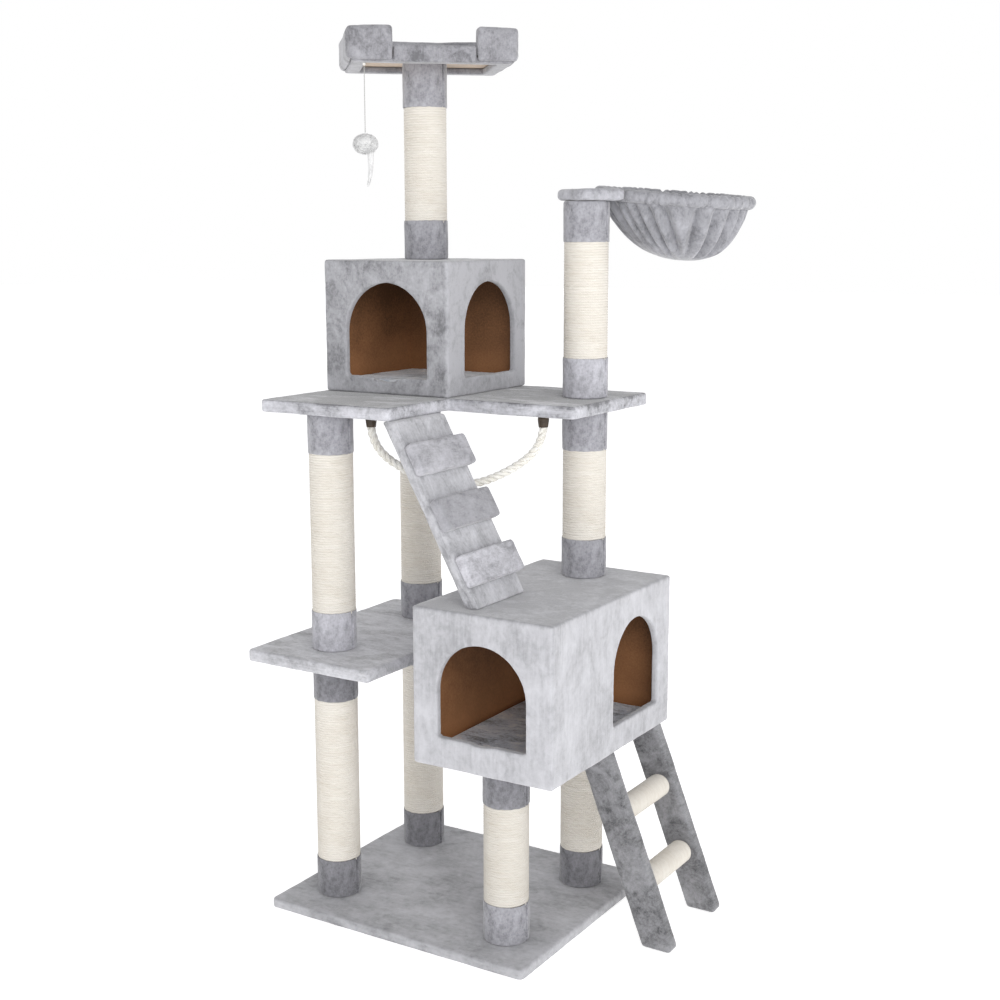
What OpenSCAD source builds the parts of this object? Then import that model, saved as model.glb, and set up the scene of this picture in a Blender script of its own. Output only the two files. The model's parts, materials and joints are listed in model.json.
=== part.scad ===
// Cat tree: four sisal posts on a base, a low shelf, an L-shaped middle platform,
// two houses, a step ramp, a leaning ladder, a hammock, a bolstered perch, a swing rope and a toy.
// Origin: centre of the base's underside. +X: the ladder's side. +Y: the back. +Z: up.

/* [Boards and fabric] */
// Thickness of the base's wooden board
base_board_t = 16; // [14:0.5:18]
// Thickness of the wooden boards of the shelf and the platform
board_t = 19; // [16:0.5:20]
// Thickness of the plush fabric glued to the boards
plush_t = 2.5; // [2:0.5:3]
// Thickness of the house panels
panel_t = 9; // [8:0.5:12]
// Corner radius of the platforms
corner_r = 10; // [8:1:16]

/* [Base] */
// Width of the base along X
base_w = 570; // [550:2:600]
// Depth of the base along Y
base_d = 486; // [470:2:500]

/* [Posts] */
// Distance from the middle to the left and right posts
post_x = 192; // [188:1:196]
// Distance from the middle to the front and back posts
post_y = 145; // [142:1:148]
// Outer radius of the sisal winding
sisal_r = 41.8; // [41:0.2:42.5]
// Outer radius of the plush collars
collar_r = 43; // [42.6:0.2:44]
// Outer radius of the cardboard tubes
tube_r = 36.5; // [35:0.5:37]
// Wall of the cardboard tubes
tube_wall = 4; // [3:0.5:5]
// Height of a plush collar
collar_h = 75; // [66:1:78]
// Height of the collar under the perch
top_collar_h = 86; // [72:2:90]
// Height of the wooden plugs in the tubes' ends
plug_h = 25; // [20:1:30]

/* [Levels] */
// Underside of the low shelf
shelf_z = 490; // [480:2:500]
// Underside of the middle platform
platform_z = 966; // [960:1:972]
// Underside of the hammock board
hammock_z = 1354; // [1340:2:1360]
// Underside of the perch
perch_z = 1608; // [1590:2:1620]

/* [Low shelf] */
// Left edge
shelf_x0 = -328; // [-332:1:-320]
// Front edge
shelf_y0 = -243; // [-248:1:-238]
// Width of the low shelf along X
shelf_w = 287; // [280:1:292]
// Depth of the low shelf along Y
shelf_d = 481; // [470:1:490]

/* [Middle platform] */
// Left edge
platform_x0 = -313; // [-318:1:-308]
// Right edge
platform_x1 = 255; // [246:1:260]
// Front edge of the arm that carries the ramp
platform_y0 = -203; // [-208:1:-202]
// Back edge
platform_y1 = 283; // [278:1:288]
// Right edge of the front arm
notch_x = -16; // [-18:1:-14]
// Front edge of the right arm
notch_y = -12; // [-14:1:-10]

/* [Lower house] */
// Width along X
low_w = 288; // [280:1:292]
// Depth along Y
low_d = 460; // [450:1:464]
// Height
low_h = 291; // [284:1:294]
// Underside
low_z = 355; // [352:1:360]
// Width of the front arch
low_front_arch_w = 182; // [170:2:190]
// Width of the side arch
low_side_arch_w = 178; // [164:2:182]

/* [Upper house] */
// Width along X
up_w = 289; // [284:1:292]
// Depth along Y
up_d = 285; // [280:1:288]
// Height
up_h = 255; // [250:1:260]
// Width of the front arch
up_front_arch_w = 188; // [176:2:192]
// Width of the side arch
up_side_arch_w = 181; // [166:1:184]

/* [Ramp] */
// Slope from the horizontal
ramp_angle = 61.2; // [60.5:0.1:62]
// Width of the deck
ramp_w = 164; // [156:2:166]
// Thickness of the deck with its plush
ramp_t = 24; // [20:1:26]
// Length of a step block along the deck
step_l = 60; // [50:1:62]
// Height of a step block over the deck
step_h = 19; // [14:1:21]
// Distance from one step block to the next
step_pitch = 108; // [104:1:110]

/* [Ladder] */
// Lean from the vertical
ladder_angle = 21.2; // [20:0.2:22]
// Width of a rail across its length
rail_w = 58; // [52:1:60]
// Thickness of a rail along Y
rail_t = 30; // [26:1:32]
// Clear distance between the rails
ladder_gap = 166; // [160:1:168]
// Outer radius of a sisal-wound rung
rung_r = 22.5; // [20:0.5:24]

/* [Perch] */
// Width of the perch
perch_w = 322; // [312:1:328]
// Depth of the perch
perch_d = 245; // [240:1:260]
// Height of the bolstered sides over the underside
perch_h = 66; // [60:1:72]
// Turn of the perch about its post
perch_turn = 41; // [38:1:44]

/* [Hammock] */
// Radius of the hoop's wire centre line
hoop_r = 143; // [138:1:145]
// Depth of the bag below the hoop
bag_depth = 115; // [100:1:120]
// Droop of the hoop towards its far side
hoop_droop = 2; // [1:0.5:4]
// Droop of the hoop towards its front side
hoop_roll = 4.5; // [0:0.5:5]

/* [Rope and toy] */
// Diameter of the swing rope
rope_d = 16; // [14:0.5:16]
// Length of the toy's string
string_l = 120; // [100:2:140]

/* [Hidden] */
$fn = 64;

// Colours
PLUSH = [0.66, 0.66, 0.70];
SISAL = [0.91, 0.87, 0.78];
BARE_WOOD = [0.47, 0.29, 0.17];
PALE_WOOD = [0.74, 0.64, 0.52];
CARD = [0.60, 0.47, 0.33];
STEEL = [0.60, 0.60, 0.62];
ROPE = [0.92, 0.90, 0.83];
CAP = [0.20, 0.15, 0.11];
FUR = [0.94, 0.94, 0.93];

// Small clearances
gap = 0.3;         // between pieces that only sit beside each other
hem = 1;           // the base's fabric ends this far above the floor

// Thickness of a platform with fabric on both faces
slab_t = board_t + 2 * plush_t;
base_top = base_board_t + plush_t;
platform_top = platform_z + slab_t;
skin_t = plush_t + panel_t;
mat_t = 4;
house_mat_t = 15;
mat_corner_r = 4;
house_edge_r = 2.4;

// Posts: the axes, and the two ends of every segment
front_left = [-post_x - 3, -post_y + 4];
back_left = [-post_x - 1, post_y + 3];
front_right = [post_x - 1, -post_y + 4];
back_right = [post_x - 3, post_y + 3];

// House corners: lowest X, Y and Z of the fabric's outer box
low_min = [48, -229, low_z];
low_size = [low_w, low_d, low_h];
low_top = low_z + low_h;
up_min = [notch_x - up_w, notch_y, platform_top];
up_size = [up_w, up_d, up_h];
up_top = platform_top + up_h;
perch_post = [-159, 128.5];

// Arches: the centre along the wall, the sill above the house's underside, width and height
low_front_arch = [144, 57, low_front_arch_w, 178];
low_side_arch = [317, 51, low_side_arch_w, 187];
up_front_arch = [145.5, 33, up_front_arch_w, 179];
up_side_arch = [151, 34, up_side_arch_w, 180];

front_left_segments = [[base_top, shelf_z], [shelf_z + slab_t, platform_z]];
back_left_segments = front_left_segments;
front_right_segments = [[base_top, low_z]];
back_right_segments = [[base_top, low_z], [low_top, platform_z], [platform_top, hammock_z]];
perch_board_t = 12;
perch_ring_t = 12;
perch_board_z = perch_z + perch_ring_t;
perch_segments = [[up_top, perch_board_z]];

// Fasteners
bolt_r = 4;
bolt_hole_r = 4.4;
head_r = 7.5;
head_h = 5.5;
head_pocket_r = 9;
head_pocket_h = 6;
bolt_grip = 22;
screw_r = 2.2;
screw_hole_r = 2.5;
screw_head_r = 4.4;
screw_head_h = 2.6;

// Every bolt or stud: axis, lowest and highest point of the shank, and where its head is (-1, 0 or 1)
BOLTS = [
    for (p = [front_left, back_left, front_right, back_right])
        [p, head_pocket_h, base_top + bolt_grip, -1],
    for (p = [front_left, back_left])
        [p, shelf_z - bolt_grip, shelf_z + slab_t + bolt_grip, 0],
    for (p = [front_left, back_left])
        [p, platform_z - bolt_grip, platform_z + plush_t + board_t - head_pocket_h, 1],
    for (p = [front_right, back_right])
        [p, low_z - bolt_grip, low_z + skin_t - head_pocket_h, 1],
    [back_right, low_top - skin_t, low_top + bolt_grip, -1],
    [back_right, platform_z - bolt_grip, platform_top + bolt_grip, 0],
    [back_right, hammock_z - bolt_grip, hammock_z + bolt_grip / 2, 0],
    [perch_post, up_top - skin_t, up_top + bolt_grip, -1],
    [perch_post, perch_board_z - bolt_grip, perch_board_z + perch_board_t - head_pocket_h, 1]
];

// Ramp: its upper end meets the platform's underside, its lower end the lower house's roof
ramp_y = -120;
ramp_rise = platform_z - low_top;
ramp_top_x = notch_x + 11;
ramp_run = ramp_rise / tan(ramp_angle);
ramp_cut = ramp_t / sin(ramp_angle);
ramp_l = ramp_rise / sin(ramp_angle);
step_over = 5;
first_step = 48;
step_count = 3;

// Ladder: rails from the floor to the lower house's underside
ladder_foot_x = 438;
ladder_y = 96;
rail_cut = rail_w / cos(ladder_angle);
ladder_run = low_z * tan(ladder_angle);
RUNG_HEIGHTS = [115, 240];
dowel_r = 17.5;

// Ladder points: where the rails' middle line is at a height
function ladder_x(z) = ladder_foot_x - z * tan(ladder_angle);

// Wood screws: middle of the head's top, direction and length
HOUSE_SCREWS = [
    for (x = [40, up_w - 40], y = [45, up_d - 45])
        [[up_min.x + x, up_min.y + y, up_min.z + skin_t], [0, 180, 0], 28]
];
RAMP_SCREWS = [
    for (y = [-50, 50])
        [[notch_x - 8, ramp_y + y, platform_z + plush_t + board_t], [0, 180, 0], 44]
];
LADDER_SCREWS = [
    for (side = [-1, 1], x = [-14, 14])
        [[ladder_x(low_z) + x, ladder_y + side * (ladder_gap + rail_t) / 2, low_z + skin_t],
         [0, 180, 0], 44]
];
RUNG_SCREWS = [
    for (z = RUNG_HEIGHTS, side = [-1, 1])
        [[ladder_x(z), ladder_y + side * (ladder_gap / 2 + rail_t), z], [side * 90, 0, 0], 56]
];

// Perch
perch_wall = 38;
bolster_t = 32;
perch_shift = 3.5;
perch_left_stub = 87;
perch_right_stub = 80;
perch_front_h = 31;
front_wall_in = 3;
perch_r = 10;
perch_inner_w = perch_w - 2 * bolster_t;
perch_inner_d = perch_d - 2 * bolster_t;

// Hammock
hammock_turn = 61;
hammock_board_w = 104;
hammock_board_t = 22;
hammock_board_back = 44;
hammock_board_out = 60;
hammock_board_r = 26;
hoop_x = 198;
wire_r = 3;
rim_r = 12;
hoop_z = 13 - hoop_r * sin(hoop_droop);
prong_y = 28;
prong_l = 52;
bag_t = 5;
bag_rim_r = hoop_r - 3;
bag_low_at = [4, -34];
bag_curve = 2.6;
bag_rings = 8;
bag_sides = 48;

// Rope: both pivots, and the route along the chord and down from the pivots
rope_left = [-120, -114];
rope_right = [156, 48];
rope_pivot_z = 955;
rope_chord = norm(rope_right - rope_left);
rope_dir = (rope_right - rope_left) / rope_chord;
ROPE_HALF = [[0, 0], [0, 16], [3, 31], [9, 47], [19, 62], [33, 75], [50, 87], [69, 98],
             [90, 108], [112, 116], [136, 121]];
rope_sag = 122;
rope_sides = 10;
cap_top_r = 10.7;
cap_low_r = 8.9;
cap_low_z = 941;

// Toy
toy_at = [-124, -101];
knot_r = 3;
string_r = 1;
ball_flat = 5.5;
ball_r = 20;
tail_l = 74;
knot_drop = 0.5 + knot_r;

// ---------- shared shapes ----------

// A rectangle with round corners, from its lowest corner
module round_rect(x, y, w, d, r) {
    translate([x + r, y]) square([w - 2 * r, d]);
    translate([x, y + r]) square([w, d - 2 * r]);
    for (cx = [x + r, x + w - r], cy = [y + r, y + d - r]) translate([cx, cy]) circle(r);
}

// A prism over a 2D outline, from one height to another
module slab(z0, z1) {
    translate([0, 0, z0]) linear_extrude(z1 - z0) children();
}

// A tube along Z
module pipe(r_out, r_in, z0, z1) {
    translate([0, 0, z0]) difference() {
        cylinder(h = z1 - z0, r = r_out);
        translate([0, 0, -1]) cylinder(h = z1 - z0 + 2, r = r_in);
    }
}

// The room that every bolt needs in what it passes through
module bolt_holes() {
    for (b = BOLTS) {
        translate([b[0].x, b[0].y, b[1] - 0.5]) cylinder(h = b[2] - b[1] + 1, r = bolt_hole_r);
        if (b[3] < 0)
            translate([b[0].x, b[0].y, b[1] - head_pocket_h])
                cylinder(h = head_pocket_h, r = head_pocket_r);
        if (b[3] > 0)
            translate([b[0].x, b[0].y, b[2]]) cylinder(h = head_pocket_h, r = head_pocket_r);
    }
}

// The room that some screws need in what they pass through
module screw_holes(screws) {
    for (s = screws) translate(s[0]) rotate(s[1]) {
        translate([0, 0, -1]) cylinder(h = s[2] + 2, r = screw_hole_r);
        translate([0, 0, -1]) cylinder(h = screw_head_h + 1.4, r = screw_head_r + gap);
    }
}

// An arched doorway's outline, standing on its sill
module arch(w, h) {
    translate([-w / 2, 0]) square([w, h - w / 2]);
    translate([0, h - w / 2]) circle(w / 2);
}

// ---------- platforms ----------

module base_outline(inset) {
    w = base_w - 2 * inset;
    d = base_d - 2 * inset;
    round_rect(-w / 2, -d / 2, w, d, corner_r - inset);
}

module base_board() {
    color(PALE_WOOD) difference() {
        slab(0, base_board_t) base_outline(plush_t);
        bolt_holes();
    }
}

module base_cover() {
    color(PLUSH) difference() {
        slab(hem, base_top) base_outline(0);
        slab(0, base_board_t) base_outline(plush_t);
        bolt_holes();
    }
}

module shelf_outline(inset) {
    round_rect(shelf_x0 + inset, shelf_y0 + inset,
               shelf_w - 2 * inset, shelf_d - 2 * inset, corner_r - inset);
}

module shelf_board() {
    color(PALE_WOOD) difference() {
        slab(shelf_z + plush_t, shelf_z + plush_t + board_t) shelf_outline(plush_t);
        bolt_holes();
    }
}

module shelf_cover() {
    color(PLUSH) difference() {
        slab(shelf_z, shelf_z + slab_t) shelf_outline(0);
        slab(shelf_z + plush_t, shelf_z + plush_t + board_t) shelf_outline(plush_t);
        bolt_holes();
    }
}

// The L: a front arm that carries the ramp, and a back part over the whole width
module platform_outline(inset) {
    x0 = platform_x0 + inset;
    y0 = platform_y0 + inset;
    w = platform_x1 - platform_x0 - 2 * inset;
    r = corner_r - inset;
    round_rect(x0, y0, notch_x - platform_x0 - 2 * inset, platform_y1 - platform_y0 - 2 * inset, r);
    round_rect(x0, notch_y + inset, w, platform_y1 - notch_y - 2 * inset, r);
}

module platform_board() {
    color(PALE_WOOD) difference() {
        slab(platform_z + plush_t, platform_z + plush_t + board_t) platform_outline(plush_t);
        bolt_holes();
        screw_holes(HOUSE_SCREWS);
        screw_holes(RAMP_SCREWS);
    }
}

module platform_cover() {
    color(PLUSH) difference() {
        slab(platform_z, platform_top) platform_outline(0);
        slab(platform_z + plush_t, platform_z + plush_t + board_t) platform_outline(plush_t);
        bolt_holes();
        screw_holes(HOUSE_SCREWS);
        slab(platform_z - 1, platform_z + slab_t / 2)
            for (s = RAMP_SCREWS) translate([s[0].x, s[0].y]) circle(screw_hole_r);
    }
}

// ---------- posts ----------

module post_tubes(at, segments) {
    color(CARD) translate([at.x, at.y, 0])
        for (s = segments) pipe(tube_r, tube_r - tube_wall, s[0], s[1]);
}

// top_h is the height of the collar at the segment's upper end
module post_sisal(at, segments, top_h = collar_h) {
    color(SISAL) translate([at.x, at.y, 0])
        for (s = segments) pipe(sisal_r, tube_r + gap, s[0] + collar_h + gap, s[1] - top_h - gap);
}

module post_collars(at, segments, top_h = collar_h) {
    color(PLUSH) translate([at.x, at.y, 0]) for (s = segments) {
        pipe(collar_r, tube_r + gap, s[0], s[0] + collar_h);
        pipe(collar_r, tube_r + gap, s[1] - top_h, s[1]);
    }
}

// Wooden plugs glued into both ends of every tube, each with a threaded bore
module post_end_plugs() {
    color(PALE_WOOD)
        for (column = [[front_left, front_left_segments], [back_left, back_left_segments],
                       [front_right, front_right_segments], [back_right, back_right_segments],
                       [perch_post, perch_segments]])
            translate([column[0].x, column[0].y, 0]) for (s = column[1]) {
                pipe(tube_r - tube_wall - gap, bolt_hole_r, s[0], s[0] + plug_h);
                pipe(tube_r - tube_wall - gap, bolt_hole_r, s[1] - plug_h, s[1]);
            }
}

// Bolts with hexagonal heads, and headless studs between two posts
module post_bolts() {
    color(STEEL) for (b = BOLTS) translate([b[0].x, b[0].y, 0]) {
        translate([0, 0, b[1]]) cylinder(h = b[2] - b[1], r = bolt_r);
        if (b[3] < 0) translate([0, 0, b[1] - head_h]) cylinder(h = head_h, r = head_r, $fn = 6);
        if (b[3] > 0) translate([0, 0, b[2]]) cylinder(h = head_h, r = head_r, $fn = 6);
    }
}

module wood_screws() {
    color(STEEL)
        for (s = concat(HOUSE_SCREWS, RAMP_SCREWS, LADDER_SCREWS, RUNG_SCREWS))
            translate(s[0]) rotate(s[1]) {
                cylinder(h = s[2], r = screw_r);
                cylinder(h = screw_head_h, r1 = screw_head_r, r2 = screw_r);
            }
}

// ---------- houses ----------

// Panels of a house, where m is the lowest corner and s the size over the fabric
module house_slab(m, s, z0, z1) {
    translate([m.x + plush_t, m.y + plush_t, m.z + z0])
        cube([s.x - 2 * plush_t, s.y - 2 * plush_t, z1 - z0]);
}

module house_floor(m, s, screws) {
    color(BARE_WOOD) difference() {
        house_slab(m, s, plush_t, skin_t);
        bolt_holes();
        screw_holes(screws);
    }
}

module house_roof(m, s) {
    color(BARE_WOOD) difference() {
        house_slab(m, s, s.z - skin_t, s.z - plush_t);
        bolt_holes();
    }
}

// A wall across the front or the back; a is its arch, or undef
module house_cross_wall(m, s, back, a) {
    y = back ? s.y - skin_t : plush_t;
    color(BARE_WOOD) difference() {
        translate([m.x + plush_t, m.y + y, m.z + skin_t])
            cube([s.x - 2 * plush_t, panel_t, s.z - 2 * skin_t]);
        if (!is_undef(a)) front_arch_cut(m, a, plush_t);
    }
}

// A wall along the left or the right side, between the front and the back walls
module house_side_wall(m, s, right, a) {
    x = right ? s.x - skin_t : plush_t;
    color(BARE_WOOD) difference() {
        translate([m.x + x, m.y + skin_t, m.z + skin_t])
            cube([panel_t, s.y - 2 * skin_t, s.z - 2 * skin_t]);
        if (!is_undef(a)) side_arch_cut(m, s, a, plush_t);
    }
}

// The cut of a front arch, grown by the lining's thickness
module front_arch_cut(m, a, grow) {
    translate([m.x + a[0], m.y + skin_t + 1, m.z + a[1] - grow])
        rotate([90, 0, 0]) linear_extrude(skin_t + 2) arch(a[2] + 2 * grow, a[3] + 2 * grow);
}

module side_arch_cut(m, s, a, grow) {
    translate([m.x + s.x - skin_t - 1, m.y + a[0], m.z + a[1] - grow])
        rotate([90, 0, 90]) linear_extrude(skin_t + 2) arch(a[2] + 2 * grow, a[3] + 2 * grow);
}

// Fabric over the whole outside, turned into both arches as a lining
module house_cover(m, s, front, side, screws) {
    t = plush_t;
    color(PLUSH) difference() {
        union() {
            difference() {
                slab(m.z, m.z + s.z) round_rect(m.x, m.y, s.x, s.y, house_edge_r);
                translate([m.x + t, m.y + t, m.z + t]) cube([s.x - 2 * t, s.y - 2 * t, s.z - 2 * t]);
            }
            intersection() {
                front_arch_cut(m, front, t);
                translate(m) cube([s.x, skin_t, s.z]);
            }
            intersection() {
                side_arch_cut(m, s, side, t);
                translate(m + [s.x - skin_t, 0, 0]) cube([skin_t, s.y, s.z]);
            }
        }
        front_arch_cut(m, front, 0);
        side_arch_cut(m, s, side, 0);
        bolt_holes();
        screw_holes(screws);
    }
}

module house_mat(m, s) {
    inset = skin_t + 1;
    color(PLUSH) slab(m.z + skin_t, m.z + skin_t + house_mat_t)
        round_rect(m.x + inset, m.y + inset, s.x - 2 * inset, s.y - 2 * inset, mat_corner_r);
}

// ---------- ramp ----------

// The deck's side outline in X and Z, made smaller all round by inset
module ramp_outline(inset) {
    side = inset / sin(ramp_angle);
    shift = inset / tan(ramp_angle);
    polygon([
        [ramp_top_x - side + shift, platform_z - inset],
        [ramp_top_x - ramp_cut + side + shift, platform_z - inset],
        [ramp_top_x - ramp_cut + ramp_run + side - shift, low_top + inset],
        [ramp_top_x + ramp_run - side - shift, low_top + inset]
    ]);
}

module ramp_prism(inset) {
    translate([0, ramp_y + ramp_w / 2 - inset, 0])
        rotate([90, 0, 0]) linear_extrude(ramp_w - 2 * inset) ramp_outline(inset);
}

module ramp_board() {
    color(PALE_WOOD) difference() {
        ramp_prism(plush_t);
        screw_holes(RAMP_SCREWS);
    }
}

module ramp_cover() {
    color(PLUSH) difference() {
        ramp_prism(0);
        ramp_prism(plush_t);
        screw_holes(RAMP_SCREWS);
    }
}

module ramp_steps() {
    color(PLUSH) translate([ramp_top_x, ramp_y, platform_z]) rotate([0, ramp_angle, 0])
        for (i = [0:step_count - 1])
            translate([first_step + i * step_pitch, -ramp_w / 2 - step_over, 0])
                cube([step_l, ramp_w + 2 * step_over, step_h]);
}

// ---------- ladder ----------

module ladder_rail(side) {
    y = ladder_y + side * (ladder_gap + rail_t) / 2;
    color(PLUSH) difference() {
        translate([0, y + rail_t / 2, 0]) rotate([90, 0, 0]) linear_extrude(rail_t)
            polygon([
                [ladder_foot_x - rail_cut / 2, 0],
                [ladder_foot_x + rail_cut / 2, 0],
                [ladder_foot_x + rail_cut / 2 - ladder_run, low_z],
                [ladder_foot_x - rail_cut / 2 - ladder_run, low_z]
            ]);
        screw_holes(LADDER_SCREWS);
        screw_holes(RUNG_SCREWS);
    }
}

module ladder_rung(r_out, r_in, shorten) {
    for (z = RUNG_HEIGHTS) translate([ladder_x(z), ladder_y, z]) rotate([90, 0, 0])
        translate([0, 0, -ladder_gap / 2]) pipe(r_out, r_in, shorten, ladder_gap - shorten);
}

module ladder_rung_dowels() {
    color(PALE_WOOD) difference() {
        for (z = RUNG_HEIGHTS) translate([ladder_x(z), ladder_y + ladder_gap / 2, z])
            rotate([90, 0, 0]) cylinder(h = ladder_gap, r = dowel_r);
        screw_holes(RUNG_SCREWS);
    }
}

module ladder_rung_sisal() {
    color(SISAL) ladder_rung(rung_r, dowel_r + gap, gap);
}

// ---------- perch ----------

// The perch's own frame: x 0 and y 0 on the post's axis, z 0 at its underside
module at_perch() {
    translate([perch_post.x, perch_post.y, perch_z]) rotate([0, 0, perch_turn]) children();
}

module perch_rect(w, d, r) {
    translate([perch_shift, 0]) round_rect(-w / 2, -d / 2, w, d, r);
}

// The opening between the two stubs, made smaller on both sides by inset
module perch_opening(y, d, inset) {
    x0 = perch_shift - perch_w / 2 + perch_left_stub + inset;
    x1 = perch_shift + perch_w / 2 - perch_right_stub - inset;
    translate([x0, y]) square([x1 - x0, d]);
}

// A ring under the board's edge, with the low wall at the front
module perch_frame() {
    color(PLUSH) at_perch() {
        slab(0, perch_ring_t) difference() {
            perch_rect(perch_w, perch_d, perch_r);
            perch_rect(perch_w - 2 * perch_wall, perch_d - 2 * perch_wall, 4);
        }
        slab(perch_ring_t, perch_front_h)
            perch_opening(-perch_d / 2 + front_wall_in, bolster_t - front_wall_in, gap);
    }
}

// The high padded wall round the left, the back and the right side, with a stub at each front corner
module perch_bolster() {
    color(PLUSH) at_perch() slab(perch_ring_t, perch_h) difference() {
        perch_rect(perch_w, perch_d, perch_r);
        perch_rect(perch_inner_w, perch_inner_d, 2);
        perch_opening(-perch_d, perch_d, 0);
    }
}

module perch_board() {
    color(PALE_WOOD) difference() {
        at_perch() slab(perch_ring_t, perch_ring_t + perch_board_t)
            perch_rect(perch_inner_w - 2 * gap, perch_inner_d - 2 * gap, 2);
        bolt_holes();
    }
}

module perch_mat() {
    color(PLUSH) at_perch() slab(perch_ring_t + perch_board_t, perch_ring_t + perch_board_t + mat_t)
        perch_rect(perch_inner_w - 2 * gap, perch_inner_d - 2 * gap, 2);
}

// ---------- hammock ----------

// The hammock's own frame: x outwards from the post, z 0 at the board's underside
module at_hammock() {
    translate([back_right.x, back_right.y, hammock_z]) rotate([0, 0, hammock_turn]) children();
}

// The hoop's own frame: its middle, drooping towards the far side
module at_hoop() {
    at_hammock() translate([hoop_x, 0, hoop_z]) rotate([hoop_roll, hoop_droop, 0]) children();
}

module hoop_prongs(r) {
    x = sqrt(hoop_r * hoop_r - prong_y * prong_y);
    for (y = [-prong_y, prong_y]) translate([-x, y, 0]) rotate([0, -90, 0]) cylinder(h = prong_l, r = r);
}

module hammock_board() {
    color(PLUSH) difference() {
        at_hammock() slab(0, hammock_board_t) difference() {
            round_rect(-hammock_board_back, -hammock_board_w / 2,
                       hammock_board_back + hammock_board_out, hammock_board_w, hammock_board_r);
            translate([hoop_x, 0]) circle(hoop_r + rim_r + 1.5, $fn = 128);
        }
        at_hoop() hoop_prongs(wire_r + gap);
        bolt_holes();
    }
}

module hammock_hoop() {
    color(STEEL) at_hoop() {
        rotate_extrude($fn = 96) translate([hoop_r, 0]) circle(wire_r, $fn = 24);
        hoop_prongs(wire_r);
    }
}

// The plush sleeve over the wire, which carries the bag's edge
module hammock_rim() {
    color(PLUSH) at_hoop() difference() {
        rotate_extrude($fn = 96) translate([hoop_r, 0]) difference() {
            circle(rim_r, $fn = 32);
            circle(wire_r + gap, $fn = 24);
        }
        hoop_prongs(wire_r + gap);
    }
}

// How far down the bag is at a share f of its radius, from 1 at its lowest point to 0 at the rim
function bag_share(f) = 1 - pow(f, bag_curve);

// A ring of the bag; the lowest point is off the hoop's axis, where a cat lies
function bag_ring(f, r, lift) =
    let (share = bag_share(f),
         z = min(-rim_r - gap - (bag_depth - rim_r) * share + lift, -rim_r - gap))
    [for (k = [0:bag_sides - 1])
        [bag_low_at.x * share + r * f * cos(360 * k / bag_sides),
         bag_low_at.y * share + r * f * sin(360 * k / bag_sides), z]];

// The outer skin from the lowest point up to the rim, then the inner skin back down
module hammock_bag() {
    n = bag_rings;
    m = bag_sides;
    rings = 2 * n;
    points = [
        for (i = [1:n]) each bag_ring(i / n, bag_rim_r, 0),
        for (i = [n:-1:1]) each bag_ring(i / n, bag_rim_r - bag_t, bag_t),
        bag_ring(0, 0, 0)[0],
        bag_ring(0, 0, bag_t)[0]
    ];
    faces = [
        for (k = [0:m - 1]) [rings * m, k, (k + 1) % m],
        for (i = [0:rings - 2], k = [0:m - 1])
            [i * m + k, (i + 1) * m + k, (i + 1) * m + (k + 1) % m, i * m + (k + 1) % m],
        for (k = [0:m - 1]) [rings * m + 1, (rings - 1) * m + (k + 1) % m, (rings - 1) * m + k]
    ];
    color(PLUSH) at_hoop() polyhedron(points, faces);
}

// ---------- swing rope ----------

// The whole route: the left half, the lowest point and the right half mirrored
rope_route = [
    for (p = ROPE_HALF) p,
    [rope_chord / 2, rope_sag],
    for (i = [len(ROPE_HALF) - 1:-1:0]) [rope_chord - ROPE_HALF[i].x, ROPE_HALF[i].y]
];

// A ring of the tube round a point of the route, square to the route there
function rope_ring(i) =
    let (last = len(rope_route) - 1,
         d = rope_route[min(i + 1, last)] - rope_route[max(i - 1, 0)],
         t = i == 0 || i == last ? [0, i == 0 ? 1 : -1] : d / norm(d),
         p = rope_route[i])
    [for (k = [0:rope_sides - 1])
        let (a = 360 * k / rope_sides, c = rope_d / 2 * cos(a), s = rope_d / 2 * sin(a))
        [p.x + c * t.y, s, -p.y + c * t.x]];

module swing_rope() {
    n = len(rope_route);
    m = rope_sides;
    points = [for (i = [0:n - 1]) each rope_ring(i)];
    faces = [
        [for (k = [m - 1:-1:0]) k],
        for (i = [0:n - 2], k = [0:m - 1])
            [i * m + k, i * m + (k + 1) % m, (i + 1) * m + (k + 1) % m, (i + 1) * m + k],
        [for (k = [0:m - 1]) (n - 1) * m + k]
    ];
    color(ROPE) translate([rope_left.x, rope_left.y, rope_pivot_z])
        rotate([0, 0, atan2(rope_dir.y, rope_dir.x)]) polyhedron(points, faces);
}

// A cap over each end of the rope: tapered below, a round dome about its pivot on top
module rope_caps() {
    color(CAP) for (p = [rope_left, rope_right]) translate([p.x, p.y, rope_pivot_z])
        rotate_extrude() difference() {
            union() {
                intersection() {
                    circle(cap_top_r);
                    square(cap_top_r);
                }
                polygon([[0, 0], [cap_top_r, 0], [cap_low_r, cap_low_z - rope_pivot_z],
                         [0, cap_low_z - rope_pivot_z]]);
            }
            translate([0, cap_low_z - rope_pivot_z - 1])
                square([rope_d / 2 + gap, rope_pivot_z - cap_low_z + 1 + gap]);
        }
}

// ---------- toy ----------

// The toy's own frame: the middle of its knot
module at_toy() {
    at_perch() translate([toy_at.x, toy_at.y, -knot_drop]) children();
}

module toy_knot() {
    color(FUR) at_toy() sphere(knot_r, $fn = 32);
}

module toy_string() {
    color(FUR) at_toy() translate([0, 0, -knot_r - gap - string_l])
        cylinder(h = string_l, r = string_r, $fn = 16);
}

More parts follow.
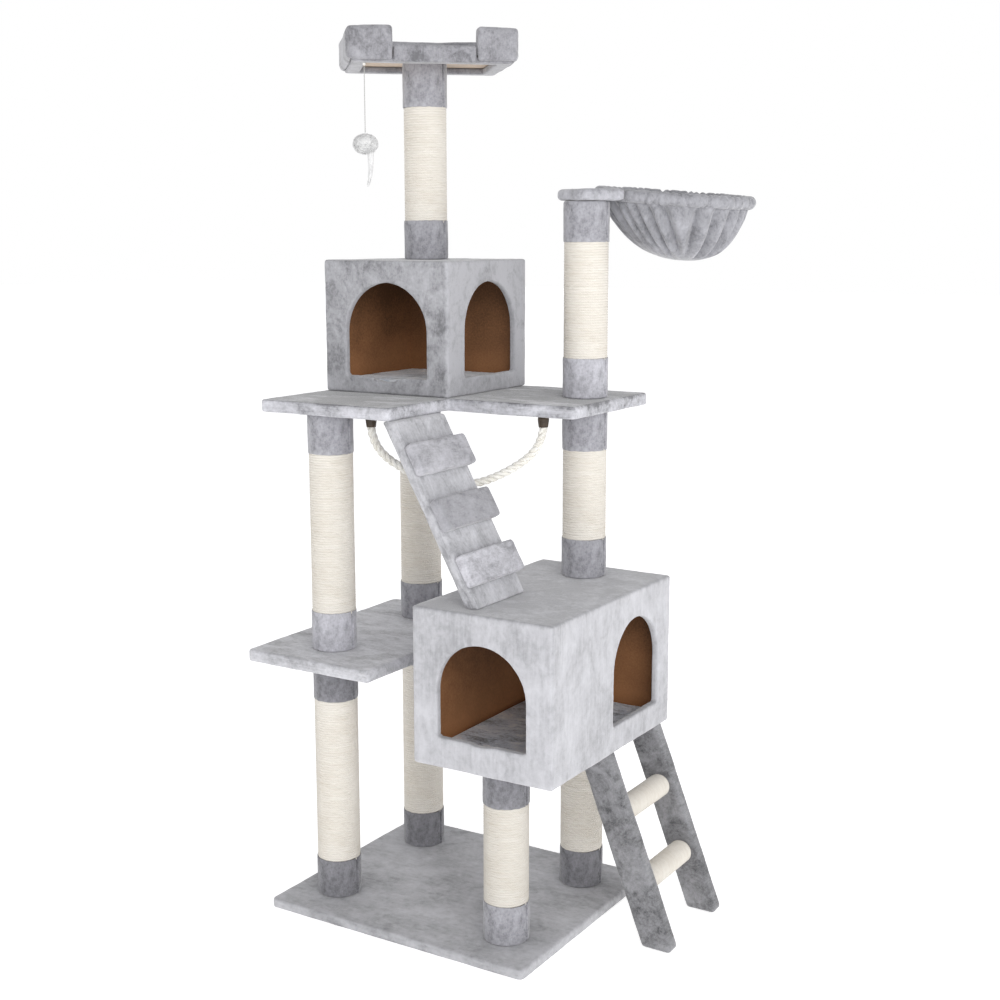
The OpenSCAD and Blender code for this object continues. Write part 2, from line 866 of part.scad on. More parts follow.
// A flattened furry ball with a tapering tail
module toy_ball() {
    color(FUR) at_toy() translate([0, 0, -knot_r - gap - string_l - 1.2 - ball_r]) {
        rotate_extrude() intersection() {
            union() {
                translate([ball_flat, 0]) circle(ball_r);
                translate([0, -ball_r]) square([ball_flat, 2 * ball_r]);
            }
            translate([0, -ball_r]) square([ball_r + ball_flat, 2 * ball_r]);
        }
        translate([12, 0, -12]) rotate([0, 180 + 4, 0]) cylinder(h = tail_l, r1 = 6, r2 = 2, $fn = 24);
    }
}

// ---------- what is drawn ----------

base_board();
base_cover();
shelf_board();
shelf_cover();
platform_board();
platform_cover();
post_tubes(front_left, front_left_segments);  // front_left_post_tubes
post_sisal(front_left, front_left_segments);  // front_left_post_sisal
post_collars(front_left, front_left_segments);  // front_left_post_collars
post_tubes(back_left, back_left_segments);  // back_left_post_tubes
post_sisal(back_left, back_left_segments);  // back_left_post_sisal
post_collars(back_left, back_left_segments);  // back_left_post_collars
post_tubes(front_right, front_right_segments);  // front_right_post_tube
post_sisal(front_right, front_right_segments);  // front_right_post_sisal
post_collars(front_right, front_right_segments);  // front_right_post_collars
post_tubes(back_right, back_right_segments);  // back_right_post_tubes
post_sisal(back_right, back_right_segments);  // back_right_post_sisal
post_collars(back_right, back_right_segments);  // back_right_post_collars
post_tubes(perch_post, perch_segments);  // perch_post_tube
post_sisal(perch_post, perch_segments, top_collar_h);  // perch_post_sisal
post_collars(perch_post, perch_segments, top_collar_h);  // perch_post_collars
post_end_plugs();
post_bolts();
wood_screws();
house_floor(low_min, low_size, LADDER_SCREWS);  // lower_house_floor
house_roof(low_min, low_size);  // lower_house_roof
house_cross_wall(low_min, low_size, false, low_front_arch);  // lower_house_front
house_cross_wall(low_min, low_size, true);  // lower_house_back
house_side_wall(low_min, low_size, false);  // lower_house_left
house_side_wall(low_min, low_size, true, low_side_arch);  // lower_house_right
house_cover(low_min, low_size, low_front_arch, low_side_arch, LADDER_SCREWS);  // lower_house_cover
house_mat(low_min, low_size);  // lower_house_mat
house_floor(up_min, up_size, HOUSE_SCREWS);  // upper_house_floor
house_roof(up_min, up_size);  // upper_house_roof
house_cross_wall(up_min, up_size, false, up_front_arch);  // upper_house_front
house_cross_wall(up_min, up_size, true);  // upper_house_back
house_side_wall(up_min, up_size, false);  // upper_house_left
house_side_wall(up_min, up_size, true, up_side_arch);  // upper_house_right
house_cover(up_min, up_size, up_front_arch, up_side_arch, HOUSE_SCREWS);  // upper_house_cover
house_mat(up_min, up_size);  // upper_house_mat
ramp_board();
ramp_cover();
ramp_steps();
ladder_rail(-1);  // ladder_rail_front
ladder_rail(1);  // ladder_rail_back
ladder_rung_dowels();
ladder_rung_sisal();
perch_board();
perch_frame();
perch_bolster();
perch_mat();
hammock_board();
hammock_hoop();
hammock_rim();
hammock_bag();
swing_rope();
rope_caps();
toy_knot();
toy_string();
toy_ball();
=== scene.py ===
"""The cat tree's looks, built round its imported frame.

Everything is in metres in the frame's own axes: the origin is the middle of the base's underside,
+X the ladder's side, +Y the back and +Z up.
"""

import json
import math

import bpy
import numpy as np
from mathutils import Matrix, Vector


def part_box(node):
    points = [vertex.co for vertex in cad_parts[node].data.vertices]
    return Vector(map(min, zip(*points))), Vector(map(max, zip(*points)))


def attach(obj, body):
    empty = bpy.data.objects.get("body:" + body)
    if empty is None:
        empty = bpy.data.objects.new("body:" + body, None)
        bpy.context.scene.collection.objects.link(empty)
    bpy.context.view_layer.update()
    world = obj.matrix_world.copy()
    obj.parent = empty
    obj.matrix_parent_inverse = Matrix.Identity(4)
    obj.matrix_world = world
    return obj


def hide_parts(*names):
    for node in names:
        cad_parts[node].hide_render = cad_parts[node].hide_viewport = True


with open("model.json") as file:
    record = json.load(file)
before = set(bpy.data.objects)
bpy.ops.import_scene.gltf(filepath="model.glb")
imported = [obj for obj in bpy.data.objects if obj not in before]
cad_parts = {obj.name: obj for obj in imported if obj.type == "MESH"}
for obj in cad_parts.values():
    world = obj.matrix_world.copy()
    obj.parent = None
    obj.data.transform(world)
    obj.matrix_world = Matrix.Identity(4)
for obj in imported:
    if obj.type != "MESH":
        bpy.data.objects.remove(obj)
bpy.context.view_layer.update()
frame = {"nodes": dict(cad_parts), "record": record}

MM = 0.001
TURN = 2 * math.pi

# Fabric and panels, as the frame has them
SKIN_T = 11.5 * MM        # a house's fabric and panel together
COVER_T = 2.2 * MM        # the fabric shells, which stay clear of the boards
EDGE_R = 5 * MM           # how round the fabric makes a board's edge
CORNER_R = 10 * MM


# ---------- numbers ----------

def unit(v):
    """Vectors of length 1."""
    return v / np.maximum(np.linalg.norm(v, axis=-1, keepdims=True), 1e-12)


def noise(points, size, seed):
    """Smooth random values from -1 to 1, which change over about size metres."""
    table = np.random.default_rng(seed).uniform(-1, 1, (24, 24, 24))
    p = np.asarray(points) / size + 1000.5
    cell = np.floor(p).astype(int)
    f = p - cell
    f = f * f * (3 - 2 * f)
    total = np.zeros(len(p))
    for corner in np.ndindex(2, 2, 2):
        share = np.prod(np.where(corner, f, 1 - f), axis=1)
        i = (cell + corner) % 24
        total += share * table[i[:, 0], i[:, 1], i[:, 2]]
    return total


def rumple(points, amount, seed, size=0.045):
    """Uneven fabric: broad swells with finer ones on them."""
    return amount * (noise(points, size, seed) + 0.45 * noise(points, size / 3, seed + 1)
                     + 0.25 * noise(points, size / 8, seed + 2))


def ramp01(x, start, end):
    """0 before start, 1 after end and smooth between."""
    t = np.clip((x - start) / (end - start), 0, 1)
    return t * t * (3 - 2 * t)


# ---------- distances to shapes, negative inside ----------

def rounded_outline(corners, radii, steps=6):
    """A closed outline whose corners are arcs. radii is one radius, or one for each corner."""
    corners = [np.array(c, float) for c in corners]
    radii = np.broadcast_to(radii, len(corners))
    points = []
    for i, (p, r) in enumerate(zip(corners, radii)):
        a, b = unit(corners[i - 1] - p), unit(corners[(i + 1) % len(corners)] - p)
        half = math.acos(np.clip(a @ b, -1, 1)) / 2
        middle = p + unit(a + b) * r / math.sin(half)
        first = p + a * r / math.tan(half) - middle
        last = p + b * r / math.tan(half) - middle
        sweep = math.atan2(first[0] * last[1] - first[1] * last[0], first @ last)
        for k in range(steps + 1):
            c, s = math.cos(sweep * k / steps), math.sin(sweep * k / steps)
            points.append(middle + [first[0] * c - first[1] * s, first[0] * s + first[1] * c])
    return np.array(points)


def rectangle(x0, y0, x1, y1, r, steps=6):
    return rounded_outline([(x0, y0), (x1, y0), (x1, y1), (x0, y1)], r, steps)


def outline_distance(points, outline):
    best = np.full(len(points), np.inf)
    inside = np.zeros(len(points), bool)
    x, y = points[:, 0], points[:, 1]
    for a, b in zip(outline, np.roll(outline, -1, axis=0)):
        d = b - a
        t = np.clip(((x - a[0]) * d[0] + (y - a[1]) * d[1]) / max(d @ d, 1e-18), 0, 1)
        best = np.minimum(best, np.hypot(x - a[0] - t * d[0], y - a[1] - t * d[1]))
        if a[1] != b[1]:
            crosses = (a[1] > y) != (b[1] > y)
            inside ^= crosses & (x < a[0] + (y - a[1]) / d[1] * d[0])
    return np.where(inside, -best, best)


def prism_distance(points, outline, z0, z1, edge_r):
    """Distance to an upright prism with round edges."""
    side = outline_distance(points[:, :2], outline) + edge_r
    level = np.abs(points[:, 2] - (z0 + z1) / 2) - (z1 - z0) / 2 + edge_r
    outside = np.hypot(np.maximum(side, 0), np.maximum(level, 0))
    return outside + np.minimum(np.maximum(side, level), 0) - edge_r


def arch_distance(across, up, width, height):
    """Distance to a doorway with a half round top, from the middle of its sill."""
    spring = height - width / 2
    low = np.abs(np.stack([across, up - spring / 2])) - np.array([[width / 2], [spring / 2]])
    box = np.hypot(*np.maximum(low, 0)) + np.minimum(low.max(0), 0)
    return np.minimum(box, np.hypot(across, up - spring) - width / 2)


def smooth_max(a, b, blend):
    h = np.maximum(blend - np.abs(a - b), 0) / blend
    return np.maximum(a, b) + h * h * blend / 4


def smooth_min(a, b, blend):
    return -smooth_max(-a, -b, blend)


def settle(points, distance, rounds=4, reach=4 * MM):
    """The points moved onto the surface where distance is 0, and the normals there."""
    step = 0.25 * MM
    for done in range(rounds + 1):
        slope = np.stack([distance(points + step * e) - distance(points - step * e)
                          for e in np.eye(3)], axis=1) / (2 * step)
        length = np.maximum(np.linalg.norm(slope, axis=1), 0.3)
        normal = slope / length[:, None]
        if done < rounds:
            points = points - normal * np.clip(distance(points) / length, -reach, reach)[:, None]
    return points, normal


# ---------- meshes ----------

def mesh_of(name, verts, faces):
    mesh = bpy.data.meshes.new(name)
    mesh.from_pydata(np.asarray(verts).tolist(), [], [tuple(int(i) for i in f) for f in faces])
    mesh.validate()
    return mesh


def object_of(name, mesh):
    obj = bpy.data.objects.new(name, mesh)
    bpy.context.scene.collection.objects.link(obj)
    return obj


def arrays_of(obj):
    """Corners and faces of an object as its modifiers leave it."""
    seen = obj.evaluated_get(bpy.context.evaluated_depsgraph_get())
    mesh = bpy.data.meshes.new_from_object(seen)
    verts = np.zeros(len(mesh.vertices) * 3)
    mesh.vertices.foreach_get("co", verts)
    faces = [tuple(p.vertices) for p in mesh.polygons]
    bpy.data.meshes.remove(mesh)
    return verts.reshape(-1, 3), faces


def piece(name, verts, faces, material, nodes=(), place=None, body="frame", shell=0.0):
    """One visible piece. shell is how thick its sheet is, measured inwards from its faces."""
    mesh = mesh_of(name, verts, faces)
    mesh.polygons.foreach_set("use_smooth", [True] * len(mesh.polygons))
    mesh.materials.append(material)
    obj = object_of(name, mesh)
    if shell:
        thick = obj.modifiers.new("thickness", "SOLIDIFY")
        thick.thickness = shell
        thick.offset = -1
        thick.use_rim = True
        thick.use_quality_normals = False
    if place is not None:
        obj.matrix_world = place
    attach(obj, body)
    if nodes:
        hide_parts(*nodes)
    return obj


def prism_mesh(outline, z0, z1):
    n = len(outline)
    verts = [(x, y, z) for z in (z0, z1) for x, y in outline]
    faces = [tuple(range(n))[::-1], tuple(range(n, 2 * n))]
    faces += [(i, (i + 1) % n, (i + 1) % n + n, i + n) for i in range(n)]
    return verts, faces


def remeshed(parts, voxel, cuts=()):
    """An even mesh over the union of closed parts, with the cuts taken out of it."""
    verts, faces = [], []
    for v, f in parts:
        faces += [tuple(i + len(verts) for i in face) for face in f]
        verts += list(v)
    obj = object_of("rough", mesh_of("rough", verts, faces))
    tools = [object_of("cut", mesh_of("cut", v, f)) for v, f in cuts]
    for tool in tools:
        cut = obj.modifiers.new("cut", "BOOLEAN")
        cut.operation = "DIFFERENCE"
        cut.solver = "EXACT"
        cut.object = tool
    even = obj.modifiers.new("even", "REMESH")
    even.mode = "VOXEL"
    even.voxel_size = voxel
    bpy.context.view_layer.update()
    result = arrays_of(obj)
    for o in [obj, *tools]:
        bpy.data.meshes.remove(o.data)
    return result


def without_loose(verts, faces):
    """The same mesh with only the corners that a face uses."""
    used = sorted({i for f in faces for i in f})
    new = {old: i for i, old in enumerate(used)}
    return verts[used], [tuple(new[i] for i in f) for f in faces]


def loft(rings, ends="caps"):
    """Faces over rings of equally many points: an array of ring, point and coordinate.

    Its ends have caps, are open, or meet when the rings go round."""
    count, n = rings.shape[:2]
    faces = []
    for i in range(count - 1):
        for k in range(n):
            j = (k + 1) % n
            faces.append((i * n + k, i * n + j, (i + 1) * n + j, (i + 1) * n + k))
    last = (count - 1) * n
    if ends == "caps":
        faces.append(tuple(range(n))[::-1])
        faces.append(tuple(last + k for k in range(n)))
    elif ends == "meet":
        faces += [(last + k, last + (k + 1) % n, (k + 1) % n, k) for k in range(n)]
    return rings.reshape(-1, 3), faces


def frames_along(line):
    """A direction and two directions square to it at each point of a line, without twist."""
    ahead = unit(np.gradient(line, axis=0))
    side = np.zeros_like(line)
    start = np.cross(ahead[0], (0.3, 0.9, 0.2))
    side[0] = start / np.linalg.norm(start)
    for i in range(1, len(line)):
        s = side[i - 1] - ahead[i] * (side[i - 1] @ ahead[i])
        side[i] = s / np.linalg.norm(s)
    return ahead, side, np.cross(ahead, side)


def tube(line, radius, sides):
    """A closed tube along a line. radius is a number or one for each ring and side."""
    _, side, up = frames_along(line)
    a = np.arange(sides) / sides * TURN
    r = np.broadcast_to(radius, (len(line), sides))[..., None]
    rings = line[:, None] + r * (np.cos(a)[None, :, None] * side[:, None]
                                 + np.sin(a)[None, :, None] * up[:, None])
    return loft(rings)


def joined(meshes):
    verts, faces, count = [], [], 0
    for v, f in meshes:
        faces += [tuple(i + count for i in face) for face in f]
        verts.append(np.asarray(v))
        count += len(v)
    return np.concatenate(verts), faces


def smooth_line(points, step):
    """Points about step apart on a smooth curve through the given ones."""
    p = np.array(points, float)
    p = np.concatenate([[2 * p[0] - p[1]], p, [2 * p[-1] - p[-2]]])
    dense = []
    for a, b, c, d in zip(p, p[1:], p[2:], p[3:]):
        for t in np.linspace(0, 1, 24, endpoint=False):
            dense.append(0.5 * (2 * b + (c - a) * t + (2 * a - 5 * b + 4 * c - d) * t ** 2
                                + (3 * b - a - 3 * c + d) * t ** 3))
    dense = np.array(dense + [p[-2]])
    along = np.concatenate([[0], np.cumsum(np.linalg.norm(np.diff(dense, axis=0), axis=1))])
    at = np.linspace(0, along[-1], round(along[-1] / step) + 1)
    return np.stack([np.interp(at, along, dense[:, k]) for k in range(3)], axis=1)


def solids(node):
    """The separate solids of a node, each as its lowest and highest corner, in the node's order."""
    mesh = frame["nodes"][node].data
    co = np.array([v.co for v in mesh.vertices])
    _, same = np.unique(np.round(co, 5), axis=0, return_inverse=True)
    same = same.ravel()
    group = np.arange(same.max() + 1)

    def top(i):
        while group[i] != i:
            group[i] = group[group[i]]
            i = group[i]
        return i

    for p in mesh.polygons:
        first = top(same[p.vertices[0]])
        for v in p.vertices[1:]:
            group[top(same[v])] = first
    owner = np.array([top(i) for i in same])
    parts = [co[owner == g] for g in sorted(set(owner), key=lambda g: tuple(co[owner == g].min(0)[::-1]))]
    return [(p.min(0), p.max(0)) for p in parts]


# ---------- camera, light and floor ----------

CAMERA_AT = (1.5418, -2.3386, 1.2932)
CAMERA_AZIMUTH = 31.8155
CAMERA_DOWN = 10.06
CAMERA_ROLL = -0.07
CAMERA_LENS = 53.9


def make_camera():
    data = bpy.data.cameras.new("camera")
    data.lens = CAMERA_LENS
    data.sensor_width = 36
    cam = bpy.data.objects.new("camera", data)
    bpy.context.scene.collection.objects.link(cam)
    turn = (Matrix.Rotation(math.radians(CAMERA_AZIMUTH), 4, "Z")
            @ Matrix.Rotation(math.radians(90 - CAMERA_DOWN), 4, "X")
            @ Matrix.Rotation(math.radians(CAMERA_ROLL), 4, "Z"))
    cam.matrix_world = Matrix.Translation(CAMERA_AT) @ turn
    bpy.context.scene.camera = cam


def make_sky():
    """A white studio, brightest round the horizon."""
    world = bpy.data.worlds.new("studio")
    world.use_nodes = True
    bpy.context.scene.world = world
    g = world.node_tree
    back = g.nodes["Background"]
    place = g.nodes.new("ShaderNodeTexCoord")
    split = g.nodes.new("ShaderNodeSeparateXYZ")
    shade = g.nodes.new("ShaderNodeValToRGB")
    g.links.new(place.outputs["Generated"], split.inputs[0])
    g.links.new(split.outputs["Z"], shade.inputs[0])
    g.links.new(shade.outputs[0], back.inputs["Color"])
    shade.color_ramp.elements[0].position = 0.2
    shade.color_ramp.elements[0].color = (1, 1, 1, 1)
    shade.color_ramp.elements[1].position = 0.85
    shade.color_ramp.elements[1].color = (0.42, 0.42, 0.43, 1)
    back.inputs["Strength"].default_value = 1.0


def area_light(name, at, towards, size, power):
    data = bpy.data.lights.new(name, "AREA")
    data.shape = "RECTANGLE"
    data.size, data.size_y = size
    data.energy = power
    light = bpy.data.objects.new(name, data)
    light.location = at
    light.rotation_euler = (Vector(towards) - Vector(at)).to_track_quat("-Z", "Y").to_euler()
    bpy.context.scene.collection.objects.link(light)


def make_light():
    middle = (0, 0, 0.8)
    area_light("key_light", (3.0, -2.6, 1.9), middle, (2.4, 2.4), 70)
    area_light("rim_light", (-3.2, 2.4, 2.2), middle, (2.0, 2.6), 18)


def make_floor():
    half = 30.0
    grid = [-half, -3.0, 3.0, half]
    verts = [(x, y, 0) for y in grid for x in grid]
    faces = [(i + 4 * j, i + 1 + 4 * j, i + 5 + 4 * j, i + 4 + 4 * j) for j in range(3) for i in range(3)]
    mesh = mesh_of("floor", verts, faces)
    mesh.materials.append(floor_material())
    object_of("floor", mesh)


# ---------- materials ----------

class Graph:
    """A material's nodes, joined by short calls."""

    def __init__(self, name):
        self.material = bpy.data.materials.new(name)
        self.material.use_nodes = True
        self.tree = self.material.node_tree
        self.shader = self.tree.nodes["Principled BSDF"]

    def node(self, kind, **sockets):
        n = self.tree.nodes.new("ShaderNode" + kind)
        for key, value in sockets.items():
            self.put(n.inputs[key.replace("_", " ")], value)
        return n

    def put(self, socket, value):
        if isinstance(value, bpy.types.NodeSocket):
            self.tree.links.new(value, socket)
        else:
            socket.default_value = value

    def place(self, scale=(1, 1, 1)):
        """The piece's own coordinates, stretched."""
        own = self.node("TexCoord").outputs["Object"]
        return self.node("Mapping", Vector=own, Scale=scale).outputs[0]

    def noise(self, at, scale, detail=3.0, rough=0.55, warp=0.0):
        n = self.node("TexNoise", Vector=at, Scale=scale, Detail=detail, Roughness=rough, Distortion=warp)
        return n.outputs["Fac"]

    def maths(self, operation, *values):
        n = self.node("Math")
        n.operation = operation
        for socket, value in zip(n.inputs, values):
            self.put(socket, value)
        return n.outputs[0]

    def sum_of(self, *parts):
        """Values times their shares, added up."""
        total = None
        for value, share in parts:
            part = self.maths("MULTIPLY", value, share)
            total = part if total is None else self.maths("ADD", total, part)
        return total

    def colours(self, value, *stops):
        """A colour for each value: stops are (position, (r, g, b))."""
        n = self.node("ValToRGB", Fac=value)
        ramp = n.color_ramp
        while len(ramp.elements) < len(stops):
            ramp.elements.new(0.5)
        for element, (position, colour) in zip(ramp.elements, stops):
            element.position = position
            element.color = (*colour, 1)
        return n.outputs["Color"]

    def bump(self, height, strength, distance):
        n = self.node("Bump", Height=height, Strength=strength, Distance=distance)
        self.put(self.shader.inputs["Normal"], n.outputs[0])

    def set(self, **sockets):
        for key, value in sockets.items():
            self.put(self.shader.inputs[key.replace("_", " ")], value)
        return self.material


def shades(colour, darker, lighter):
    """A colour with a darker and a lighter one round it."""
    return tuple(c * darker for c in colour), colour, tuple(min(c * lighter, 0.95) for c in colour)


def plush_material(name, colour, nap=(1.0, 1.0, 0.7), patch=11.0, contrast=1.0, top=0.0,
                   side=0.0):
    """Short plush: brushed patches along the nap, fine threads and a soft sheen.

    top is how much darker the faces that look up are, and side how much lighter the ones that look
    along +X are. Both imitate uneven light, and aren't a property of the cloth."""
    g = Graph(name)
    along = g.place(scale=nap)
    patches = g.noise(along, patch, detail=5.0, rough=0.62, warp=1.1)
    smudges = g.noise(along, patch * 3.6, detail=4.0, rough=0.62, warp=0.8)
    crumbs = g.noise(g.place(), patch * 12, detail=3.0, rough=0.65, warp=0.3)
    threads = g.noise(g.place(scale=tuple(n ** 5 for n in nap)), patch * 26, detail=2.0, rough=0.6)
    pile = g.noise(g.place(), 620.0, detail=2.0, rough=0.7)
    tone = g.sum_of((patches, 0.40), (smudges, 0.24), (crumbs, 0.17), (threads, 0.12), (pile, 0.07))
    for axis, amount in (("Z", -top), ("X", side)):
        if amount:
            facing = g.node("SeparateXYZ", Vector=g.node("TexCoord").outputs["Normal"]).outputs[axis]
            facing = g.maths("MAXIMUM", facing, 0.0)
            tone = g.maths("ADD", tone, g.maths("MULTIPLY", facing, amount))
    dark, middle, light = shades(colour, 1 - 0.42 * contrast, 1 + 0.30 * contrast)
    g.put(g.shader.inputs["Base Color"],
          g.colours(tone, (0.40, dark), (0.495, middle), (0.59, light)))
    height = g.sum_of((pile, 0.6), (threads, 0.5), (crumbs, 0.8))
    g.bump(height, 0.55, 1.2 * MM)
    return g.set(Roughness=0.92, Specular_IOR_Level=0.15, Sheen_Weight=0.5, Sheen_Roughness=0.45)


def sisal_material(name, share=1.0):
    """Wound sisal rope: diagonal plies, long fibres and turns that differ in shade.

    The piece's own Z runs along the middle of its winding. share scales its colours down for a shaded
    copy: painted shade."""
    g = Graph(name)
    own = g.node("TexCoord").outputs["Object"]
    split = g.node("SeparateXYZ", Vector=own)
    angle = g.maths("ARCTAN2", split.outputs["Y"], split.outputs["X"])
    plies_round = 58.0
    slant = g.maths("ADD", g.maths("MULTIPLY", angle, plies_round),
                    g.maths("MULTIPLY", split.outputs["Z"], TURN / (4.7 * MM)))
    wander = g.maths("MULTIPLY", g.noise(g.place(), 120.0), 5.0)
    plies = g.maths("SINE", g.maths("ADD", slant, wander))
    fibres = g.noise(g.place(scale=(1, 1, 14)), 95.0, detail=4.0, rough=0.7)
    turns = g.noise(g.place(scale=(0.12, 0.12, 1)), 190.0, detail=2.0)
    stains = g.noise(g.place(), 16.0, detail=3.0)
    tone = g.sum_of((fibres, 0.44), (turns, 0.22), (stains, 0.26), (plies, 0.03))
    g.put(g.shader.inputs["Base Color"], g.colours(
        tone, (0.30, shaded((0.60, 0.54, 0.455), share)), (0.42, shaded((0.70, 0.66, 0.595), share)),
        (0.60, shaded((0.785, 0.755, 0.70), share))))
    g.bump(g.sum_of((plies, 0.25), (fibres, 0.9)), 0.45, 0.8 * MM)
    return g.set(Roughness=0.8, Specular_IOR_Level=0.25)


def board_material(name, colour, fleck=260.0, contrast=1.0, dim=None):
    """Pressed wood: a fine fibre mix with darker flecks and broad shading.

    dim gives the height where the board is darkest and the one from which down it isn't dimmed. It
    imitates the shade at the top of a house."""
    g = Graph(name)
    flecks = g.noise(g.place(), fleck, detail=5.0, rough=0.75)
    broad = g.noise(g.place(), 9.0, detail=3.0)
    tone = g.sum_of((flecks, 0.55), (broad, 0.45))
    if dim:
        z = g.node("SeparateXYZ", Vector=g.node("TexCoord").outputs["Object"]).outputs["Z"]
        dimmed = g.maths("MULTIPLY", g.maths("SUBTRACT", z, dim[1]), 1 / (dim[0] - dim[1]))
        dimmed = g.maths("MINIMUM", g.maths("MAXIMUM", dimmed, 0.0), 1.0)
        tone = g.maths("SUBTRACT", tone, g.maths("MULTIPLY", dimmed, 0.36))
    dark, middle, light = shades(colour, 1 - 0.35 * contrast, 1 + 0.25 * contrast)
    g.put(g.shader.inputs["Base Color"], g.colours(
        tone, (0.10, shaded(colour, 0.30)), (0.36, dark), (0.5, middle), (0.64, light)))
    g.bump(flecks, 0.25, 0.4 * MM)
    return g.set(Roughness=0.68, Specular_IOR_Level=0.35)


def cardboard_material():
    g = Graph("cardboard")
    wraps = g.noise(g.place(scale=(1, 1, 6)), 40.0, detail=4.0)
    fibres = g.noise(g.place(), 420.0, detail=4.0)
    tone = g.sum_of((wraps, 0.5), (fibres, 0.5))
    g.put(g.shader.inputs["Base Color"],
          g.colours(tone, (0.35, (0.24, 0.16, 0.09)), (0.65, (0.44, 0.32, 0.20))))
    g.bump(fibres, 0.2, 0.3 * MM)
    return g.set(Roughness=0.85)


def steel_material():
    g = Graph("zinc_plated_steel")
    spangle = g.noise(g.place(), 240.0, detail=3.0)
    g.put(g.shader.inputs["Base Color"],
          g.colours(spangle, (0.3, (0.42, 0.42, 0.44)), (0.7, (0.62, 0.62, 0.63))))
    rough = g.sum_of((spangle, 0.3), (g.noise(g.place(), 900.0), 0.2))
    g.put(g.shader.inputs["Roughness"], rough)
    return g.set(Metallic=1.0)


def rope_material():
    """Cotton strands: fine fibres, a little grey at random."""
    g = Graph("cotton_rope")
    fibres = g.noise(g.place(scale=(1.6, 1.6, 0.7)), 700.0, detail=4.0, rough=0.7)
    soil = g.noise(g.place(), 60.0, detail=3.0)
    tone = g.sum_of((fibres, 0.6), (soil, 0.4))
    g.put(g.shader.inputs["Base Color"], g.colours(
        tone, (0.34, (0.62, 0.58, 0.50)), (0.47, (0.83, 0.81, 0.75)), (0.62, (0.92, 0.91, 0.87))))
    g.bump(fibres, 0.7, 0.8 * MM)
    return g.set(Roughness=0.85, Specular_IOR_Level=0.2, Sheen_Weight=0.3)


def thread_material():
    """Grey cotton thread."""
    g = Graph("grey_thread")
    fibres = g.noise(g.place(), 900.0, detail=3.0)
    g.put(g.shader.inputs["Base Color"],
          g.colours(fibres, (0.35, (0.36, 0.36, 0.35)), (0.65, (0.52, 0.52, 0.51))))
    g.bump(fibres, 0.3, 0.3 * MM)
    return g.set(Roughness=0.85)


def cap_material():
    """Dark brown moulded plastic with fine rings."""
    g = Graph("brown_cap")
    grain = g.noise(g.place(), 800.0, detail=3.0)
    rings = g.noise(g.place(scale=(0.02, 0.02, 1)), 520.0, detail=1.0)
    tone = g.sum_of((grain, 0.4), (rings, 0.6))
    g.put(g.shader.inputs["Base Color"],
          g.colours(tone, (0.35, (0.035, 0.022, 0.013)), (0.65, (0.085, 0.06, 0.04))))
    g.put(g.shader.inputs["Roughness"], g.sum_of((grain, 0.5), (rings, 0.3)))
    g.bump(g.sum_of((rings, 1.0), (grain, 0.3)), 0.4, 0.5 * MM)
    return g.set(Specular_IOR_Level=0.4)


def fur_material():
    g = Graph("white_fur")
    locks = g.noise(g.place(), 260.0, detail=4.0, rough=0.65)
    broad = g.noise(g.place(), 45.0, detail=2.0)
    tone = g.sum_of((locks, 0.6), (broad, 0.4))
    g.put(g.shader.inputs["Base Color"], g.colours(
        tone, (0.34, (0.60, 0.60, 0.60)), (0.5, (0.73, 0.73, 0.73)), (0.64, (0.79, 0.79, 0.785))))
    g.bump(locks, 0.4, 1.0 * MM)
    return g.set(Roughness=0.9, Specular_IOR_Level=0.15, Sheen_Weight=0.5, Sheen_Roughness=0.4)


def floor_material():
    g = Graph("studio_floor")
    grain = g.noise(g.place(), 3.0, detail=2.0)
    g.put(g.shader.inputs["Base Color"],
          g.colours(grain, (0.3, (0.90, 0.90, 0.90)), (0.7, (0.92, 0.92, 0.92))))
    return g.set(Roughness=0.9, Specular_IOR_Level=0.1, Emission_Color=(1, 1, 1, 1),
                 Emission_Strength=0.56)


# Shades for this scene's light: the parts are one plush, each grey painted lighter or darker for the light
# and shade where it stands, and partly for how its nap lies
WALL_GREY = (0.475, 0.475, 0.50)
HOUSE_GREY = (0.345, 0.345, 0.365)
MAT_GREY = (0.60, 0.66, 0.76)
DECK_GREY = (0.435, 0.435, 0.465)
BASE_GREY = (0.40, 0.40, 0.42)
COLLAR_GREY = (0.325, 0.323, 0.350)
PERCH_GREY = (0.292, 0.290, 0.311)
BAG_GREY = (0.310, 0.310, 0.333)
RAIL_GREY = (0.205, 0.205, 0.215)
FIBRE_BROWN = (0.36, 0.165, 0.07)
# How much lighter or darker each ramp step is painted, for the light and shade on it and partly for how
# its nap lies
STEP_LIGHT_AND_SHADE = (1.40, 1.08, 1.75)


def shaded(colour, share):
    return tuple(c * share for c in colour)


